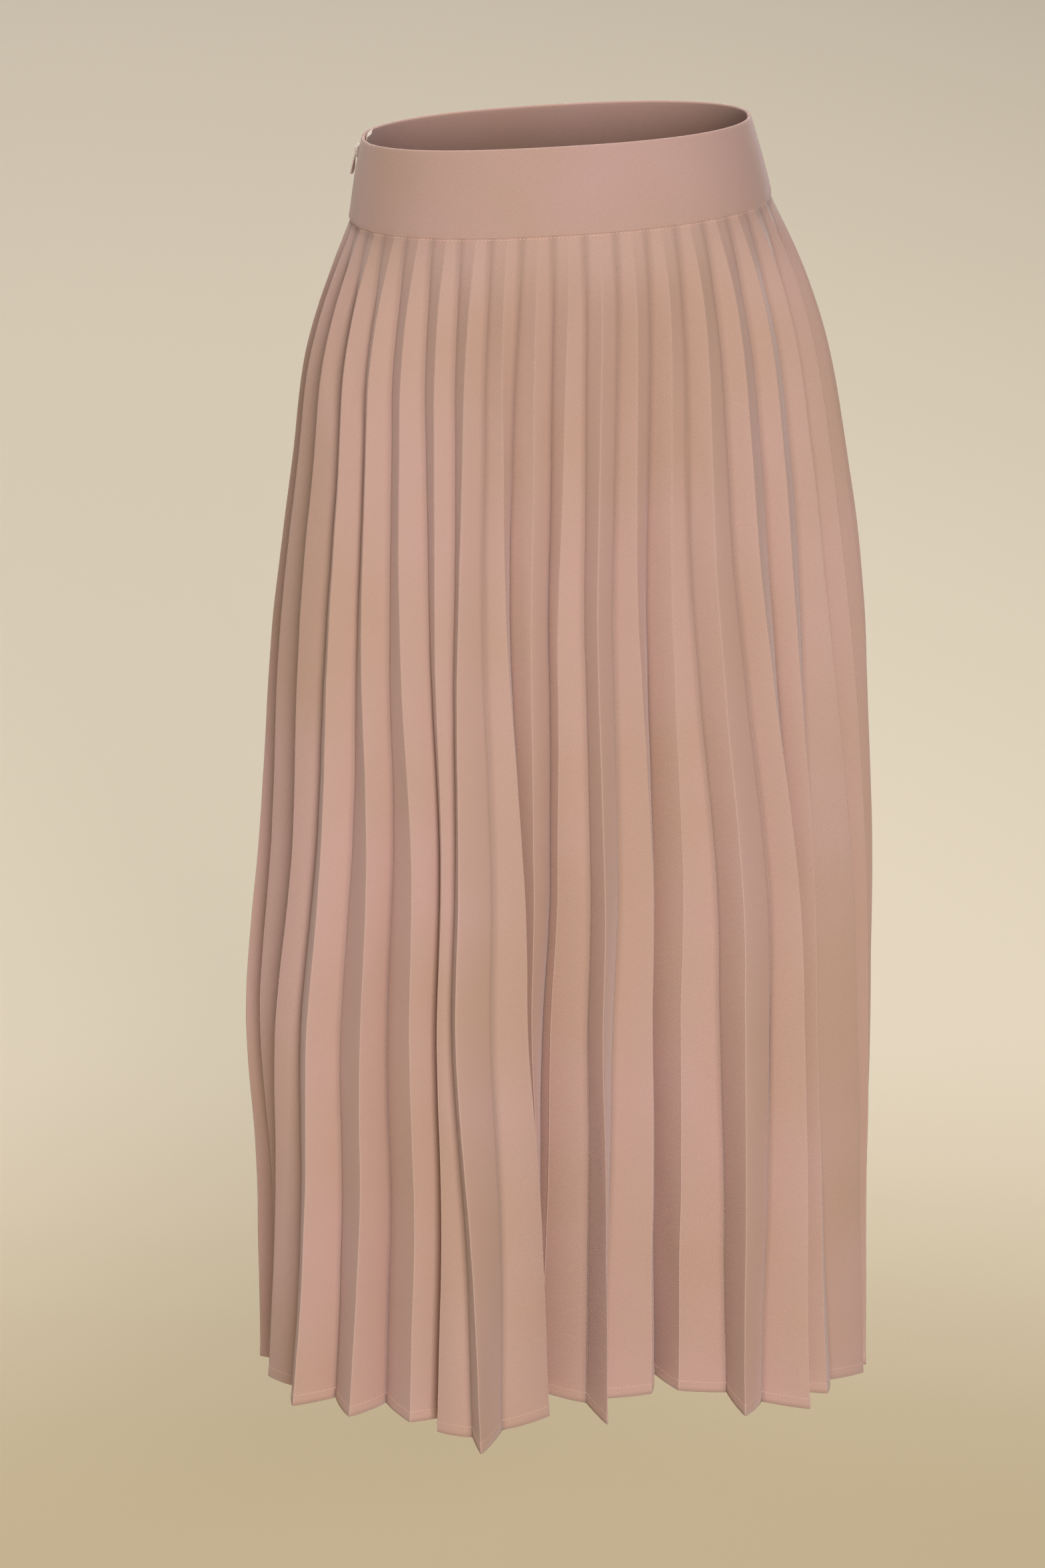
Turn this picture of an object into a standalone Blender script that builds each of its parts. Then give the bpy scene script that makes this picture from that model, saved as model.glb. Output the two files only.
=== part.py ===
"""A worn midi skirt of pressed sunray pleats on a plain waistband, with a zip in its right side seam.

The frame: +Z is up, the wearer faces -Y, and +X is the wearer's left. The origin is the centre of the
waist opening, half way down the waistband. Sizes below are in millimetres, and MM turns them to metres.
"""

import math

import bmesh
import bpy
import numpy as np
from mathutils import Matrix, Vector

MM = 0.001

# Gaps between sewn pieces, and the cloth's own thicknesses.
SEAM_GAP = 0.3
CLOTH = 1.0
BAND_CLOTH = 2.4
TAPE_CLOTH = 0.8

# The waistband: outer half width and half depth at its top edge and at the seam under it.
BAND_TOP_Z = 26.0
BAND_TOP_WIDTH, BAND_TOP_DEPTH, BAND_TOP_CENTRE = 116.5, 95.0, -2.0
BAND_TOP_TILT, SEAM_TILT, HEM_TILT = 0.175, 0.140, 0.190
SEAM_Z = -23.0
BAND_SLOPE_ACROSS = 0.060
BAND_STEPS = 44
BAND_LEVELS = (0.0, 0.34, 0.67, 1.0)

# The skirt below the seam. A section's oval goes round the outer edges of the folds there.
SKIRT_LENGTH = 774.0
OVAL_FULLNESS = 2.3
SECTION_COLUMNS = ("drop", "half_width", "half_depth", "centre_x")
SECTIONS = (
    (0.0, 127.0, 106.0, 0.5),
    (35.0, 141.0, 113.0, 2.0),
    (85.0, 157.0, 118.0, 3.5),
    (150.0, 168.0, 122.0, 5.5),
    (250.0, 180.5, 124.0, 5.5),
    (400.0, 189.5, 124.0, 4.0),
    (520.0, 195.5, 123.0, 0.0),
    (650.0, 192.5, 123.0, 2.0),
    (774.0, 193.5, 124.0, 2.0),
)

# The pleats: 20 on the front and 20 on the back, each with a ridge and a valley to its right-hand side.
PLEATS = 40
FIRST_FRONT, LAST_FRONT = -2, 17
CENTRE_PLEAT = 8
CENTRE_PLEAT_X = 4.7
SEAM_FOLD, HEM_FOLD = 7.0, 25.0
FOLD_GROWTH = 1.25
CREASE_FLAT = 1.7
RINGS = 15
RING_SPREAD = 1.35

# Where the folds of the front fall. Each row is one pleat, with its valley on the side of the lower
# numbers. The hip and knee columns are distances from the centre line, and the hem has a plan, x and y.
HIP_DROP, KNEE_DROP = 177.0, 477.0
FOLD_COLUMNS = ("pleat", "ridge_hip", "ridge_knee", "ridge_hem_x", "ridge_hem_y",
                "valley_hip", "valley_knee", "valley_hem_x", "valley_hem_y")
FRONT_FOLDS = (
    (-1, -158, -181, -178, -8, -160, -183, -166, 8),
    (0, -147, -166, -182, -28, -151, -168, -159, -18),
    (1, -129, -142, -165, -91, -136, -155, -163, -56),
    (2, -113, -113, -129, -115, -119, -131, -138, -82),
    (3, -93, -86, -92, -127, -102, -104, -107, -95),
    (4, -72, -69, -74, -141, -79, -70, -63, -118),
    (5, -56, -57, -47, -174, -61, -61, -52, -150),
    (6, -33, -19, -6, -122, -45, -39, -34, -141),
    (7, -16, -16, -9, -107, -30, -25, -22, -96),
    (8, 1, -3, -12, -86, -6, -8, -20, -76),
    (9, 23, 27, 30, -134, 15, 19, 17, -103),
    (10, 46, 59, 58, -88, 33, 35, 26, -97),
    (11, 67, 78, 75, -82, 54, 60, 59, -56),
    (12, 90, 109, 117, -116, 78, 101, 106, -81),
    (13, 114, 141, 157, -99, 103, 129, 127, -92),
    (14, 134, 153, 169, -69, 125, 145, 143, -66),
    (15, 151, 176, 193, -20, 143, 156, 171, -41),
)

# The folds that the front does not show drift from their even places by slow waves.
DRIFT_HIP, DRIFT_KNEE, DRIFT_HEM = 1.5, 4.5, 6.0
RIDGE_PHASE, VALLEY_PHASE = 0.5, 2.4
STAND_WAVE, STAND_WAVE_STEP, STAND_WAVE_START = 9.0, 0.75, 1.0

# The zip: two tapes inside the side seam, a slider and its pull tab on the band.
TAPE_WIDTH = 11.0
TAPE_RINGS = 5
TAPE_BAND_LEVELS = (0.0, 0.25, 0.5, 0.75, 0.9)
SLIDER_DROP = 9.0
SLIDER_LENGTH, SLIDER_WIDTH, SLIDER_THICK = 7.6, 4.4, 1.2
SLIDER_SHOULDER = 1.0
SLIDER_ABOVE_PIN = 0.4 * SLIDER_LENGTH
BRIDGE_WIDTH, BRIDGE_BAR = 1.4, 0.7
BRIDGE_HOLE_UP, BRIDGE_HOLE_DOWN, BRIDGE_HOLE_HIGH = 0.9, 1.0, 1.5
TAB_LENGTH, TAB_TOP_WIDTH, TAB_WIDTH, TAB_THICK = 16.0, 3.6, 6.4, 0.8
TAB_EYE_WIDTH, TAB_EYE_START, TAB_EYE_END = 2.0, 0.45, 2.5
TAB_ARC_STEPS = 12
PIN_HEIGHT = SEAM_GAP + SLIDER_THICK + BRIDGE_HOLE_HIGH / 2

CLOTH_COLOUR = (0.546, 0.325, 0.253)
TAPE_COLOUR = (0.62, 0.42, 0.35)
METAL_COLOUR = (0.70, 0.52, 0.47)


def smooth_value(at, places, values):
    """A smooth curve through the values at the places, read at one place."""
    slopes = np.gradient(np.asarray(values, dtype=float), np.asarray(places, dtype=float))
    k = int(np.clip(np.searchsorted(places, at) - 1, 0, len(places) - 2))
    span = places[k + 1] - places[k]
    t = (at - places[k]) / span
    return ((1 + 2 * t) * (1 - t) ** 2 * values[k] + t * (1 - t) ** 2 * span * slopes[k]
            + t * t * (3 - 2 * t) * values[k + 1] + t * t * (t - 1) * span * slopes[k + 1])


def section(column, drop):
    """One column of the section table at a drop below the seam."""
    index = SECTION_COLUMNS.index(column)
    return smooth_value(drop, [row[0] for row in SECTIONS], [row[index] for row in SECTIONS])


def fold_depth(drop):
    """How far the ridges stand out from the valleys."""
    return SEAM_FOLD + (HEM_FOLD - SEAM_FOLD) * drop / SKIRT_LENGTH


class Oval:
    """A closed full oval, read by the fraction of its length from the front centre towards +X."""

    STEPS = 720

    def __init__(self, half_width, half_depth, centre_x=0.0):
        angle = np.linspace(0.0, 2.0 * math.pi, self.STEPS + 1)
        power = 2.0 / OVAL_FULLNESS
        self.x = centre_x + half_width * np.sign(np.sin(angle)) * np.abs(np.sin(angle)) ** power
        self.y = -half_depth * np.sign(np.cos(angle)) * np.abs(np.cos(angle)) ** power
        run = np.concatenate([[0.0], np.cumsum(np.hypot(np.diff(self.x), np.diff(self.y)))])
        self.length = run[-1]
        self.fraction = run / run[-1]

    def point(self, fraction, stand=0.0):
        """The point at a fraction of the way round, moved outwards by stand."""
        here = fraction % 1.0
        x = np.interp(here, self.fraction, self.x)
        y = np.interp(here, self.fraction, self.y)
        out = self.outward(fraction)
        return np.array([x, y]) + stand * out

    def outward(self, fraction):
        """The direction square to the oval, pointing out."""
        step = 0.002
        ends = [np.array([np.interp((fraction + s) % 1.0, self.fraction, self.x),
                          np.interp((fraction + s) % 1.0, self.fraction, self.y)]) for s in (-step, step)]
        along = ends[1] - ends[0]
        along /= np.hypot(*along)
        return np.array([along[1], -along[0]])

    def nearest(self, x, y):
        """The fraction nearest to a plan point, and how far outside the oval the point stands."""
        k = int(np.argmin(np.hypot(self.x - x, self.y - y)))
        fraction = self.fraction[k]
        if fraction > 0.5:
            fraction -= 1.0
        out = self.outward(fraction)
        return fraction, (x - self.x[k]) * out[0] + (y - self.y[k]) * out[1]

    def front_at(self, x):
        """The fraction, on the front half, where the oval passes a distance from the centre line."""
        quarter = self.STEPS // 4
        order = np.r_[3 * quarter:4 * quarter, 0:quarter + 1]
        fractions = np.where(order >= 3 * quarter, self.fraction[order] - 1.0, self.fraction[order])
        return float(np.interp(x, self.x[order], fractions))


def mean_oval(drop):
    """The oval half way between the ridges and the valleys."""
    inset = (fold_depth(drop) + CLOTH) / 2
    return Oval(section("half_width", drop) - inset, section("half_depth", drop) - inset,
                section("centre_x", drop))


def even_fraction(index):
    """Where a ridge, or with a half less a valley, is sewn into the seam."""
    return (index - CENTRE_PLEAT) / PLEATS + CENTRE_PLEAT_X / mean_oval(0.0).length


def wave(index, phase):
    """A slow uneven wave between about -1 and 1, for the folds that the front does not show."""
    return 0.6 * math.sin(1.9 * index + phase) + 0.4 * math.sin(3.3 * index + 2.1 * phase)


def shown_track(row, kind):
    """Fractions at the seam, hip, knee and hem, and the stand at the hem, of a front fold."""
    index = row["pleat"] if kind == "ridge" else row["pleat"] - 0.5
    hem_fraction, hem_stand = mean_oval(SKIRT_LENGTH).nearest(row[kind + "_hem_x"], row[kind + "_hem_y"])
    hip_fraction = mean_oval(HIP_DROP).front_at(row[kind + "_hip"])
    knee_fraction = mean_oval(KNEE_DROP).front_at(row[kind + "_knee"])
    return [even_fraction(index), hip_fraction, knee_fraction, hem_fraction], hem_stand


def all_tracks():
    """The track of every ridge and valley: its fractions at four heights and its stand at the hem.

    A ridge has a whole number and the valley before it the half below. The front folds come from
    their table, and the rest are spread evenly between the table's ends, with slow waves.
    """
    tracks = {}
    for values in FRONT_FOLDS:
        row = dict(zip(FOLD_COLUMNS, values))
        tracks[float(row["pleat"])] = shown_track(row, "ridge")
        tracks[row["pleat"] - 0.5] = shown_track(row, "valley")
    first, last = FRONT_FOLDS[0][0] - 0.5 + PLEATS, float(FRONT_FOLDS[-1][0])
    start, end = tracks[last][0], [f + 1.0 for f in tracks[first - PLEATS][0]]
    lengths = [mean_oval(drop).length for drop in (0.0, HIP_DROP, KNEE_DROP, SKIRT_LENGTH)]
    drifts = (0.0, DRIFT_HIP, DRIFT_KNEE, DRIFT_HEM)
    for index in np.arange(last + 0.5, first, 0.5):
        part = (index - last) / (first - last)
        ridge = float(index).is_integer()
        phase = RIDGE_PHASE if ridge else VALLEY_PHASE
        fractions = []
        for begin, finish, drift, length in zip(start, end, drifts, lengths):
            here = begin + (finish - begin) * part
            fractions.append(here + drift * wave(index, phase) / length)
        fractions[0] = even_fraction(index)
        side = 1.0 if ridge else -1.0
        ease = math.sin(math.pi * part)
        stand = side * HEM_FOLD / 2 + STAND_WAVE * ease * math.sin(STAND_WAVE_STEP * index + STAND_WAVE_START)
        tracks[float(index)] = (fractions, stand)
    return tracks


TRACKS = all_tracks()


def ring_drop(ring):
    """Rings lie closer together over the hip, where the outline bends most."""
    return SKIRT_LENGTH * (ring / (RINGS - 1)) ** RING_SPREAD


def level_height(drop, x, y):
    """The height of a point of a level, which is raised at the front and towards the left hip."""
    part = drop / SKIRT_LENGTH
    tilt = SEAM_TILT + (HEM_TILT - SEAM_TILT) * part
    return SEAM_Z - SEAM_GAP - drop - tilt * y + BAND_SLOPE_ACROSS * x * (1.0 - part) ** 2


def crease(index, drop, oval):
    """A fold's middle point in plan, the direction along the oval there, and its height."""
    wrapped = (index + 3.0) % PLEATS - 3.0
    turns = (index - wrapped) / PLEATS
    if wrapped < FRONT_FOLDS[0][0] - 0.5:
        wrapped += PLEATS
        turns -= 1.0
    fractions, hem_stand = TRACKS[wrapped]
    heights = (0.0, HIP_DROP, KNEE_DROP, SKIRT_LENGTH)
    fraction = smooth_value(drop, heights, fractions) + turns
    side = 1.0 if float(index).is_integer() else -1.0
    seam_stand = side * SEAM_FOLD / 2
    growth = (drop / SKIRT_LENGTH) ** FOLD_GROWTH
    stand = seam_stand + (hem_stand - seam_stand) * growth
    middle = oval.point(fraction, stand)
    out = oval.outward(fraction)
    edge = oval.point(fraction, (fold_depth(drop) + CLOTH) / 2)
    return middle, np.array([-out[1], out[0]]), level_height(drop, edge[0], edge[1])


def panel_ring(first, last, drop):
    """The middle line of a panel's cloth at one level, from one side seam's valley to the other."""
    oval = mean_oval(drop)
    line = []
    for index in np.arange(first - 0.5, last + 1.0, 0.5):
        middle, along, height = crease(index, drop, oval)
        starts, ends = index == first - 0.5, index == last + 0.5
        before = SEAM_GAP / 2 if starts else -CREASE_FLAT / 2
        after = -SEAM_GAP / 2 if ends else CREASE_FLAT / 2
        line.append((*(middle + along * before), height))
        line.append((*(middle + along * after), height))
    return np.array(line)


def wall_sides(line, thickness):
    """The two sides of a wall round its middle line, mitred in plan at each point."""
    plan = line[:, :2]
    steps = np.diff(plan, axis=0)
    normals = np.column_stack([steps[:, 1], -steps[:, 0]])
    normals /= np.hypot(normals[:, 0], normals[:, 1])[:, None]
    before = np.vstack([normals[:1], normals])
    after = np.vstack([normals, normals[-1:]])
    mitre = before + after
    mitre /= (1.0 + (before * after).sum(axis=1))[:, None]
    outer, inner = line.copy(), line.copy()
    outer[:, :2] += mitre * thickness / 2
    inner[:, :2] -= mitre * thickness / 2
    return outer, inner


def halve(mesh, first, second, third, fourth):
    """Two triangles on the diagonal from first to third, which is the same one on both sides of a wall."""
    mesh.faces.new((first, second, third))
    mesh.faces.new((first, third, fourth))


def wall_mesh(name, rings):
    """A closed body from pairs of outer and inner lines, one pair for each level, top first."""
    mesh = bmesh.new()
    outer = [[mesh.verts.new(Vector(p) * MM) for p in pair[0]] for pair in rings]
    inner = [[mesh.verts.new(Vector(p) * MM) for p in pair[1]] for pair in rings]
    count = len(outer[0])
    for upper in range(len(rings) - 1):
        for k in range(count - 1):
            halve(mesh, outer[upper][k], outer[upper + 1][k], outer[upper + 1][k + 1], outer[upper][k + 1])
            halve(mesh, inner[upper][k], inner[upper][k + 1], inner[upper + 1][k + 1], inner[upper + 1][k])
        for k, turn in ((0, 1), (count - 1, -1)):
            corners = (outer[upper][k], inner[upper][k], inner[upper + 1][k], outer[upper + 1][k])
            mesh.faces.new(corners[::turn])
    for k in range(count - 1):
        mesh.faces.new((outer[0][k], outer[0][k + 1], inner[0][k + 1], inner[0][k]))
        mesh.faces.new((outer[-1][k], inner[-1][k], inner[-1][k + 1], outer[-1][k + 1]))
    bmesh.ops.recalc_face_normals(mesh, faces=mesh.faces)
    return finish_mesh(name, mesh)


def finish_mesh(name, mesh):
    """Turn a bmesh into a named mesh datablock."""
    data = bpy.data.meshes.new(name)
    mesh.to_mesh(data)
    mesh.free()
    return data


def material(name, colour, roughness, metallic=0.0):
    """A plain Principled material with one colour."""
    made = bpy.data.materials.new(name)
    made.use_nodes = True
    shader = made.node_tree.nodes["Principled BSDF"]
    shader.inputs["Base Color"].default_value = (*colour, 1.0)
    shader.inputs["Roughness"].default_value = roughness
    shader.inputs["Metallic"].default_value = metallic
    return made


def add_object(name, data, finish):
    """Put a mesh in the scene as a named object with its own material."""
    made = bpy.data.objects.new(name, data)
    bpy.context.scene.collection.objects.link(made)
    data.materials.append(finish)
    return made


def make_panel(name, first, last):
    """A pleated panel of thin cloth, folded all the way from the seam to the hem."""
    rings = [wall_sides(panel_ring(first, last, ring_drop(ring)), CLOTH) for ring in range(RINGS)]
    return add_object(name, wall_mesh(name, rings), material(name + "_cloth", CLOTH_COLOUR, 0.75))


def band_oval(part):
    """The outer oval of the band, from its top edge (0) to the seam (1)."""
    return Oval(BAND_TOP_WIDTH + (section("half_width", 0.0) - BAND_TOP_WIDTH) * part,
                BAND_TOP_DEPTH + (section("half_depth", 0.0) - BAND_TOP_DEPTH) * part,
                BAND_TOP_CENTRE + (section("centre_x", 0.0) - BAND_TOP_CENTRE) * part)


def band_height(part, x, y):
    """The height of a point of the band, from its top edge (0) to the seam (1)."""
    tilt = BAND_TOP_TILT + (SEAM_TILT - BAND_TOP_TILT) * part
    return BAND_TOP_Z + (SEAM_Z - BAND_TOP_Z) * part - tilt * y + BAND_SLOPE_ACROSS * x


def band_line(part, start, end, inset, steps):
    """A level line of the band, moved inwards from its outer face, with a seam gap at both ends."""
    oval = band_oval(part)
    margin = SEAM_GAP / 2 / oval.length
    line = []
    for fraction in np.linspace(start + margin, end - margin, steps + 1):
        base = oval.point(fraction)
        line.append((*oval.point(fraction, -inset), band_height(part, base[0], base[1])))
    return np.array(line)


def side_fractions():
    """Where the side seams are sewn: the zip side, and the other side."""
    return even_fraction(FIRST_FRONT - 0.5), even_fraction(LAST_FRONT + 0.5)


def make_band(name, start, end):
    """Half of the waistband, a doubled strip of cloth that stands on the seam."""
    rings = []
    for part in BAND_LEVELS:
        rings.append((band_line(part, start, end, 0.0, BAND_STEPS),
                      band_line(part, start, end, BAND_CLOTH, BAND_STEPS)))
    return add_object(name, wall_mesh(name, rings), material(name + "_cloth", CLOTH_COLOUR, 0.75))


def tape_in_band(part, reaches):
    """A level line of a zip tape along the inner face of the band, from its top (0) to the seam (1)."""
    oval = band_oval(part)
    seam = even_fraction(FIRST_FRONT - 0.5)
    behind = BAND_CLOTH + SEAM_GAP + TAPE_CLOTH / 2
    line = []
    for reach in reaches:
        edge = oval.point(seam + reach / oval.length)
        line.append((*oval.point(seam + reach / oval.length, -behind), band_height(part, edge[0], edge[1])))
    return np.array(line)


def tape_ring(side, drop):
    """A level line of a zip tape: flat behind the side seam's valley, and bent to the band above it."""
    reaches = np.linspace(SEAM_GAP / 2, TAPE_WIDTH, 4)
    if side < 0:
        reaches = -reaches[::-1]
    below = max(drop, 0.0)
    middle, along, height = crease(FIRST_FRONT - 0.5, below, mean_oval(below))
    behind = (CLOTH + TAPE_CLOTH) / 2 + SEAM_GAP
    middle = middle - np.array([along[1], -along[0]]) * behind
    flat = np.array([(*(middle + along * reach), height) for reach in reaches])
    if drop >= 0.0:
        return flat
    part = 1.0 + drop / (BAND_TOP_Z - SEAM_Z)
    bent = tape_in_band(part, reaches)
    lean = flat - tape_in_band(1.0, reaches)
    lean[:, 2] = 0.0
    return bent + lean * part ** 2


def make_tape(name, side):
    """One zip tape, a flat strip beside the side seam from the top of the band downwards."""
    drops = [(part - 1.0) * (BAND_TOP_Z - SEAM_Z) for part in TAPE_BAND_LEVELS]
    drops += [ring_drop(ring) for ring in range(TAPE_RINGS)]
    rings = [wall_sides(tape_ring(side, drop), TAPE_CLOTH) for drop in drops]
    return add_object(name, wall_mesh(name, rings), material(name + "_tape", TAPE_COLOUR, 0.8))


def slider_frame():
    """Axes at the pin: along the pin, down the band, and out of the band, from the band's own form."""
    part = SLIDER_DROP / (BAND_TOP_Z - SEAM_Z)
    seam = even_fraction(FIRST_FRONT - 0.5)
    above, below = band_oval(part - 0.1).point(seam), band_oval(part + 0.1).point(seam)
    upper = Vector((*above, band_height(part - 0.1, *above)))
    lower = Vector((*below, band_height(part + 0.1, *below)))
    down = (lower - upper).normalized()
    flat_out = band_oval(part).outward(seam)
    along = Vector((-flat_out[1], flat_out[0], 0.0)).normalized()
    out = along.cross(down).normalized()
    if out.dot(Vector((*flat_out, 0.0))) < 0.0:
        along, out = -along, -out
    place = (upper + lower) / 2 + out * PIN_HEIGHT
    axes = Matrix((along, down, out)).transposed()
    return Matrix.Translation(place * MM) @ axes.to_4x4()


def box_mesh(mesh, low, high):
    """Add a closed box between two corners, in millimetres."""
    made = bmesh.ops.create_cube(mesh, size=1.0)["verts"]
    size = Vector(high) - Vector(low)
    middle = (Vector(high) + Vector(low)) / 2
    bmesh.ops.scale(mesh, vec=size * MM, verts=made)
    bmesh.ops.translate(mesh, vec=middle * MM, verts=made)
    return made


def make_slider(frame):
    """The slider: a flat body with chamfered shoulders, and a bridge that the pull tab hangs in."""
    base = -PIN_HEIGHT + SEAM_GAP
    top = base + SLIDER_THICK
    body = bmesh.new()
    box_mesh(body, (-SLIDER_WIDTH / 2, -SLIDER_ABOVE_PIN, base),
             (SLIDER_WIDTH / 2, SLIDER_LENGTH - SLIDER_ABOVE_PIN, top))
    corners = [edge for edge in body.edges if abs(edge.verts[0].co.z - edge.verts[1].co.z) > 0.5 * MM]
    bmesh.ops.bevel(body, geom=corners, offset=SLIDER_SHOULDER * MM, segments=2, profile=0.5, affect="EDGES")
    slider = add_object("zip_slider", finish_mesh("zip_slider", body),
                        material("zip_slider_enamel", METAL_COLOUR, 0.35, 0.3))
    bridge = bmesh.new()
    box_mesh(bridge, (-BRIDGE_WIDTH / 2, -BRIDGE_HOLE_UP - BRIDGE_BAR, top - SLIDER_THICK / 2),
             (BRIDGE_WIDTH / 2, BRIDGE_HOLE_DOWN + BRIDGE_BAR, top + BRIDGE_HOLE_HIGH + BRIDGE_BAR))
    bridge_object = add_object("bridge_cutter", finish_mesh("bridge_cutter", bridge), slider.data.materials[0])
    hole = bmesh.new()
    box_mesh(hole, (-BRIDGE_WIDTH, -BRIDGE_HOLE_UP, top), (BRIDGE_WIDTH, BRIDGE_HOLE_DOWN, top + BRIDGE_HOLE_HIGH))
    hole_object = add_object("hole_cutter", finish_mesh("hole_cutter", hole), slider.data.materials[0])
    for operation, other in (("UNION", bridge_object), ("DIFFERENCE", hole_object)):
        other.hide_render = True
        other.display_type = "WIRE"
        other.matrix_world = frame
        step = slider.modifiers.new(operation.lower(), "BOOLEAN")
        step.operation = operation
        step.object = other
    slider.matrix_world = frame
    return slider


def tab_outline():
    """The teardrop outline of the pull tab: narrow at the pin, round and wide at its foot."""
    foot = TAB_WIDTH / 2
    points = [(-TAB_TOP_WIDTH / 2, -TAB_EYE_START), (-TAB_TOP_WIDTH / 2, TAB_EYE_END)]
    for step in range(TAB_ARC_STEPS + 1):
        angle = math.pi * step / TAB_ARC_STEPS
        points.append((-foot * math.cos(angle), TAB_LENGTH - foot + foot * math.sin(angle)))
    points += [(TAB_TOP_WIDTH / 2, TAB_EYE_END), (TAB_TOP_WIDTH / 2, -TAB_EYE_START)]
    return points


def make_tab(frame):
    """The pull tab, a thin teardrop plate with an eye that the slider's bridge passes through."""
    mesh = bmesh.new()
    corners = [mesh.verts.new((x * MM, y * MM, -TAB_THICK / 2 * MM)) for x, y in tab_outline()]
    plate = mesh.faces.new(corners)
    raised = bmesh.ops.extrude_face_region(mesh, geom=[plate])["geom"]
    bmesh.ops.translate(mesh, vec=(0.0, 0.0, TAB_THICK * MM),
                        verts=[item for item in raised if isinstance(item, bmesh.types.BMVert)])
    bmesh.ops.recalc_face_normals(mesh, faces=mesh.faces)
    tab = add_object("zip_pull", finish_mesh("zip_pull", mesh),
                     material("zip_pull_enamel", METAL_COLOUR, 0.35, 0.3))
    eye = bmesh.new()
    box_mesh(eye, (-TAB_EYE_WIDTH / 2, TAB_EYE_START, -TAB_THICK), (TAB_EYE_WIDTH / 2, TAB_EYE_END, TAB_THICK))
    eye_object = add_object("eye_cutter", finish_mesh("eye_cutter", eye), tab.data.materials[0])
    eye_object.hide_render = True
    eye_object.display_type = "WIRE"
    eye_object.matrix_world = frame
    cut = tab.modifiers.new("eye", "BOOLEAN")
    cut.operation = "DIFFERENCE"
    cut.object = eye_object
    tab.matrix_world = frame
    return tab


def main():
    """Clear the scene and make each sewn piece, then the zip."""
    for old in list(bpy.data.objects):
        bpy.data.objects.remove(old)
    zip_side, far_side = side_fractions()
    make_panel("skirt_front", FIRST_FRONT, LAST_FRONT)
    make_panel("skirt_back", LAST_FRONT + 1, FIRST_FRONT - 1 + PLEATS)
    make_band("waistband_front", zip_side, far_side)
    make_band("waistband_back", far_side, zip_side + 1.0)
    make_tape("zip_tape_front", 1.0)
    make_tape("zip_tape_back", -1.0)
    frame = slider_frame()
    make_slider(frame)
    make_tab(frame)


main()
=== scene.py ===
# %% [markdown]
# # A pleated midi skirt
#
# This lesson dresses the plain model of a worn skirt: dusty pink crepe, pressed into forty sunray
# pleats, under a wide plain waistband, with a concealed zip in the wearer's right side seam. The plain
# model is loaded as a frame, and every finished piece is laid over it.

# %% Load the frame
import math

import bmesh
import bpy
import numpy as np
from mathutils import Matrix, Vector, noise


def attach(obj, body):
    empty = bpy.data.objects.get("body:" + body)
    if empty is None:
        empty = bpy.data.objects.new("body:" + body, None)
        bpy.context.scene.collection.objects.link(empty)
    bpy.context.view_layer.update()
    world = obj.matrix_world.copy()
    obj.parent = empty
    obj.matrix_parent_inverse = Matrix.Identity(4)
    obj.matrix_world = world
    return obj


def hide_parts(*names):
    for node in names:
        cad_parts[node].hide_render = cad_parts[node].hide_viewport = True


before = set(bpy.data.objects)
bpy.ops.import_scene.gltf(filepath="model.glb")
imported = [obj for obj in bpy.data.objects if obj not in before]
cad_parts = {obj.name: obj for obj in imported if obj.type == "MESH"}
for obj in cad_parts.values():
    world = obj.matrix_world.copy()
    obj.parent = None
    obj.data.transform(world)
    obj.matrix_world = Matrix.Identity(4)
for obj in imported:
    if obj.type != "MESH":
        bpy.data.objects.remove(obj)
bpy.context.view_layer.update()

print("frame nodes:", sorted(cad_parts))

# %% [markdown]
# ## Units
#
# A pattern cutter thinks in millimetres and Blender in metres. All sizes below are written in
# millimetres and turned to metres once, when a mesh is made.

# %% Millimetres and colours
MM = 0.001


def hex_colour(code):
    """An sRGB hex colour as the linear values that Blender's shaders take."""
    channels = [int(code[k:k + 2], 16) / 255.0 for k in (1, 3, 5)]
    linear = [c / 12.92 if c <= 0.04045 else ((c + 0.055) / 1.055) ** 2.4 for c in channels]
    return (*linear, 1.0)


print("crepe in linear light:", [round(v, 3) for v in hex_colour("#c39b8a")])

# %% [markdown]
# ## The camera
#
# The skirt was seen from in front and well above, with a long lens, so its sides hardly converge. The
# camera stands five metres off, looks down by 22 degrees, and its lens is worked out from how many
# pixels a metre takes at that distance.

# %% Camera
VIEW_DISTANCE = 5.0
VIEW_HEIGHT = 1.62
VIEW_ACROSS = -0.022
VIEW_DOWN = math.radians(22.0)
FRAME_HIGH_PX = 2352
FOCAL_PX = 13100
SENSOR_MM = 36.0
VIEW_REACH = 60.0


def add_object(name, data):
    """Put a new object with this data into the scene."""
    made = bpy.data.objects.new(name, data)
    bpy.context.scene.collection.objects.link(made)
    return made


camera_data = bpy.data.cameras.new("studio_camera")
camera_data.sensor_width = SENSOR_MM
camera_data.lens = FOCAL_PX * SENSOR_MM / FRAME_HIGH_PX
camera_data.clip_end = VIEW_REACH
camera = add_object("studio_camera", camera_data)
camera.location = (VIEW_ACROSS, -VIEW_DISTANCE, VIEW_HEIGHT)
camera.rotation_euler = (math.pi / 2 - VIEW_DOWN, 0.0, 0.0)
bpy.context.scene.camera = camera
print("lens:", round(camera_data.lens, 1), "mm")
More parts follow.
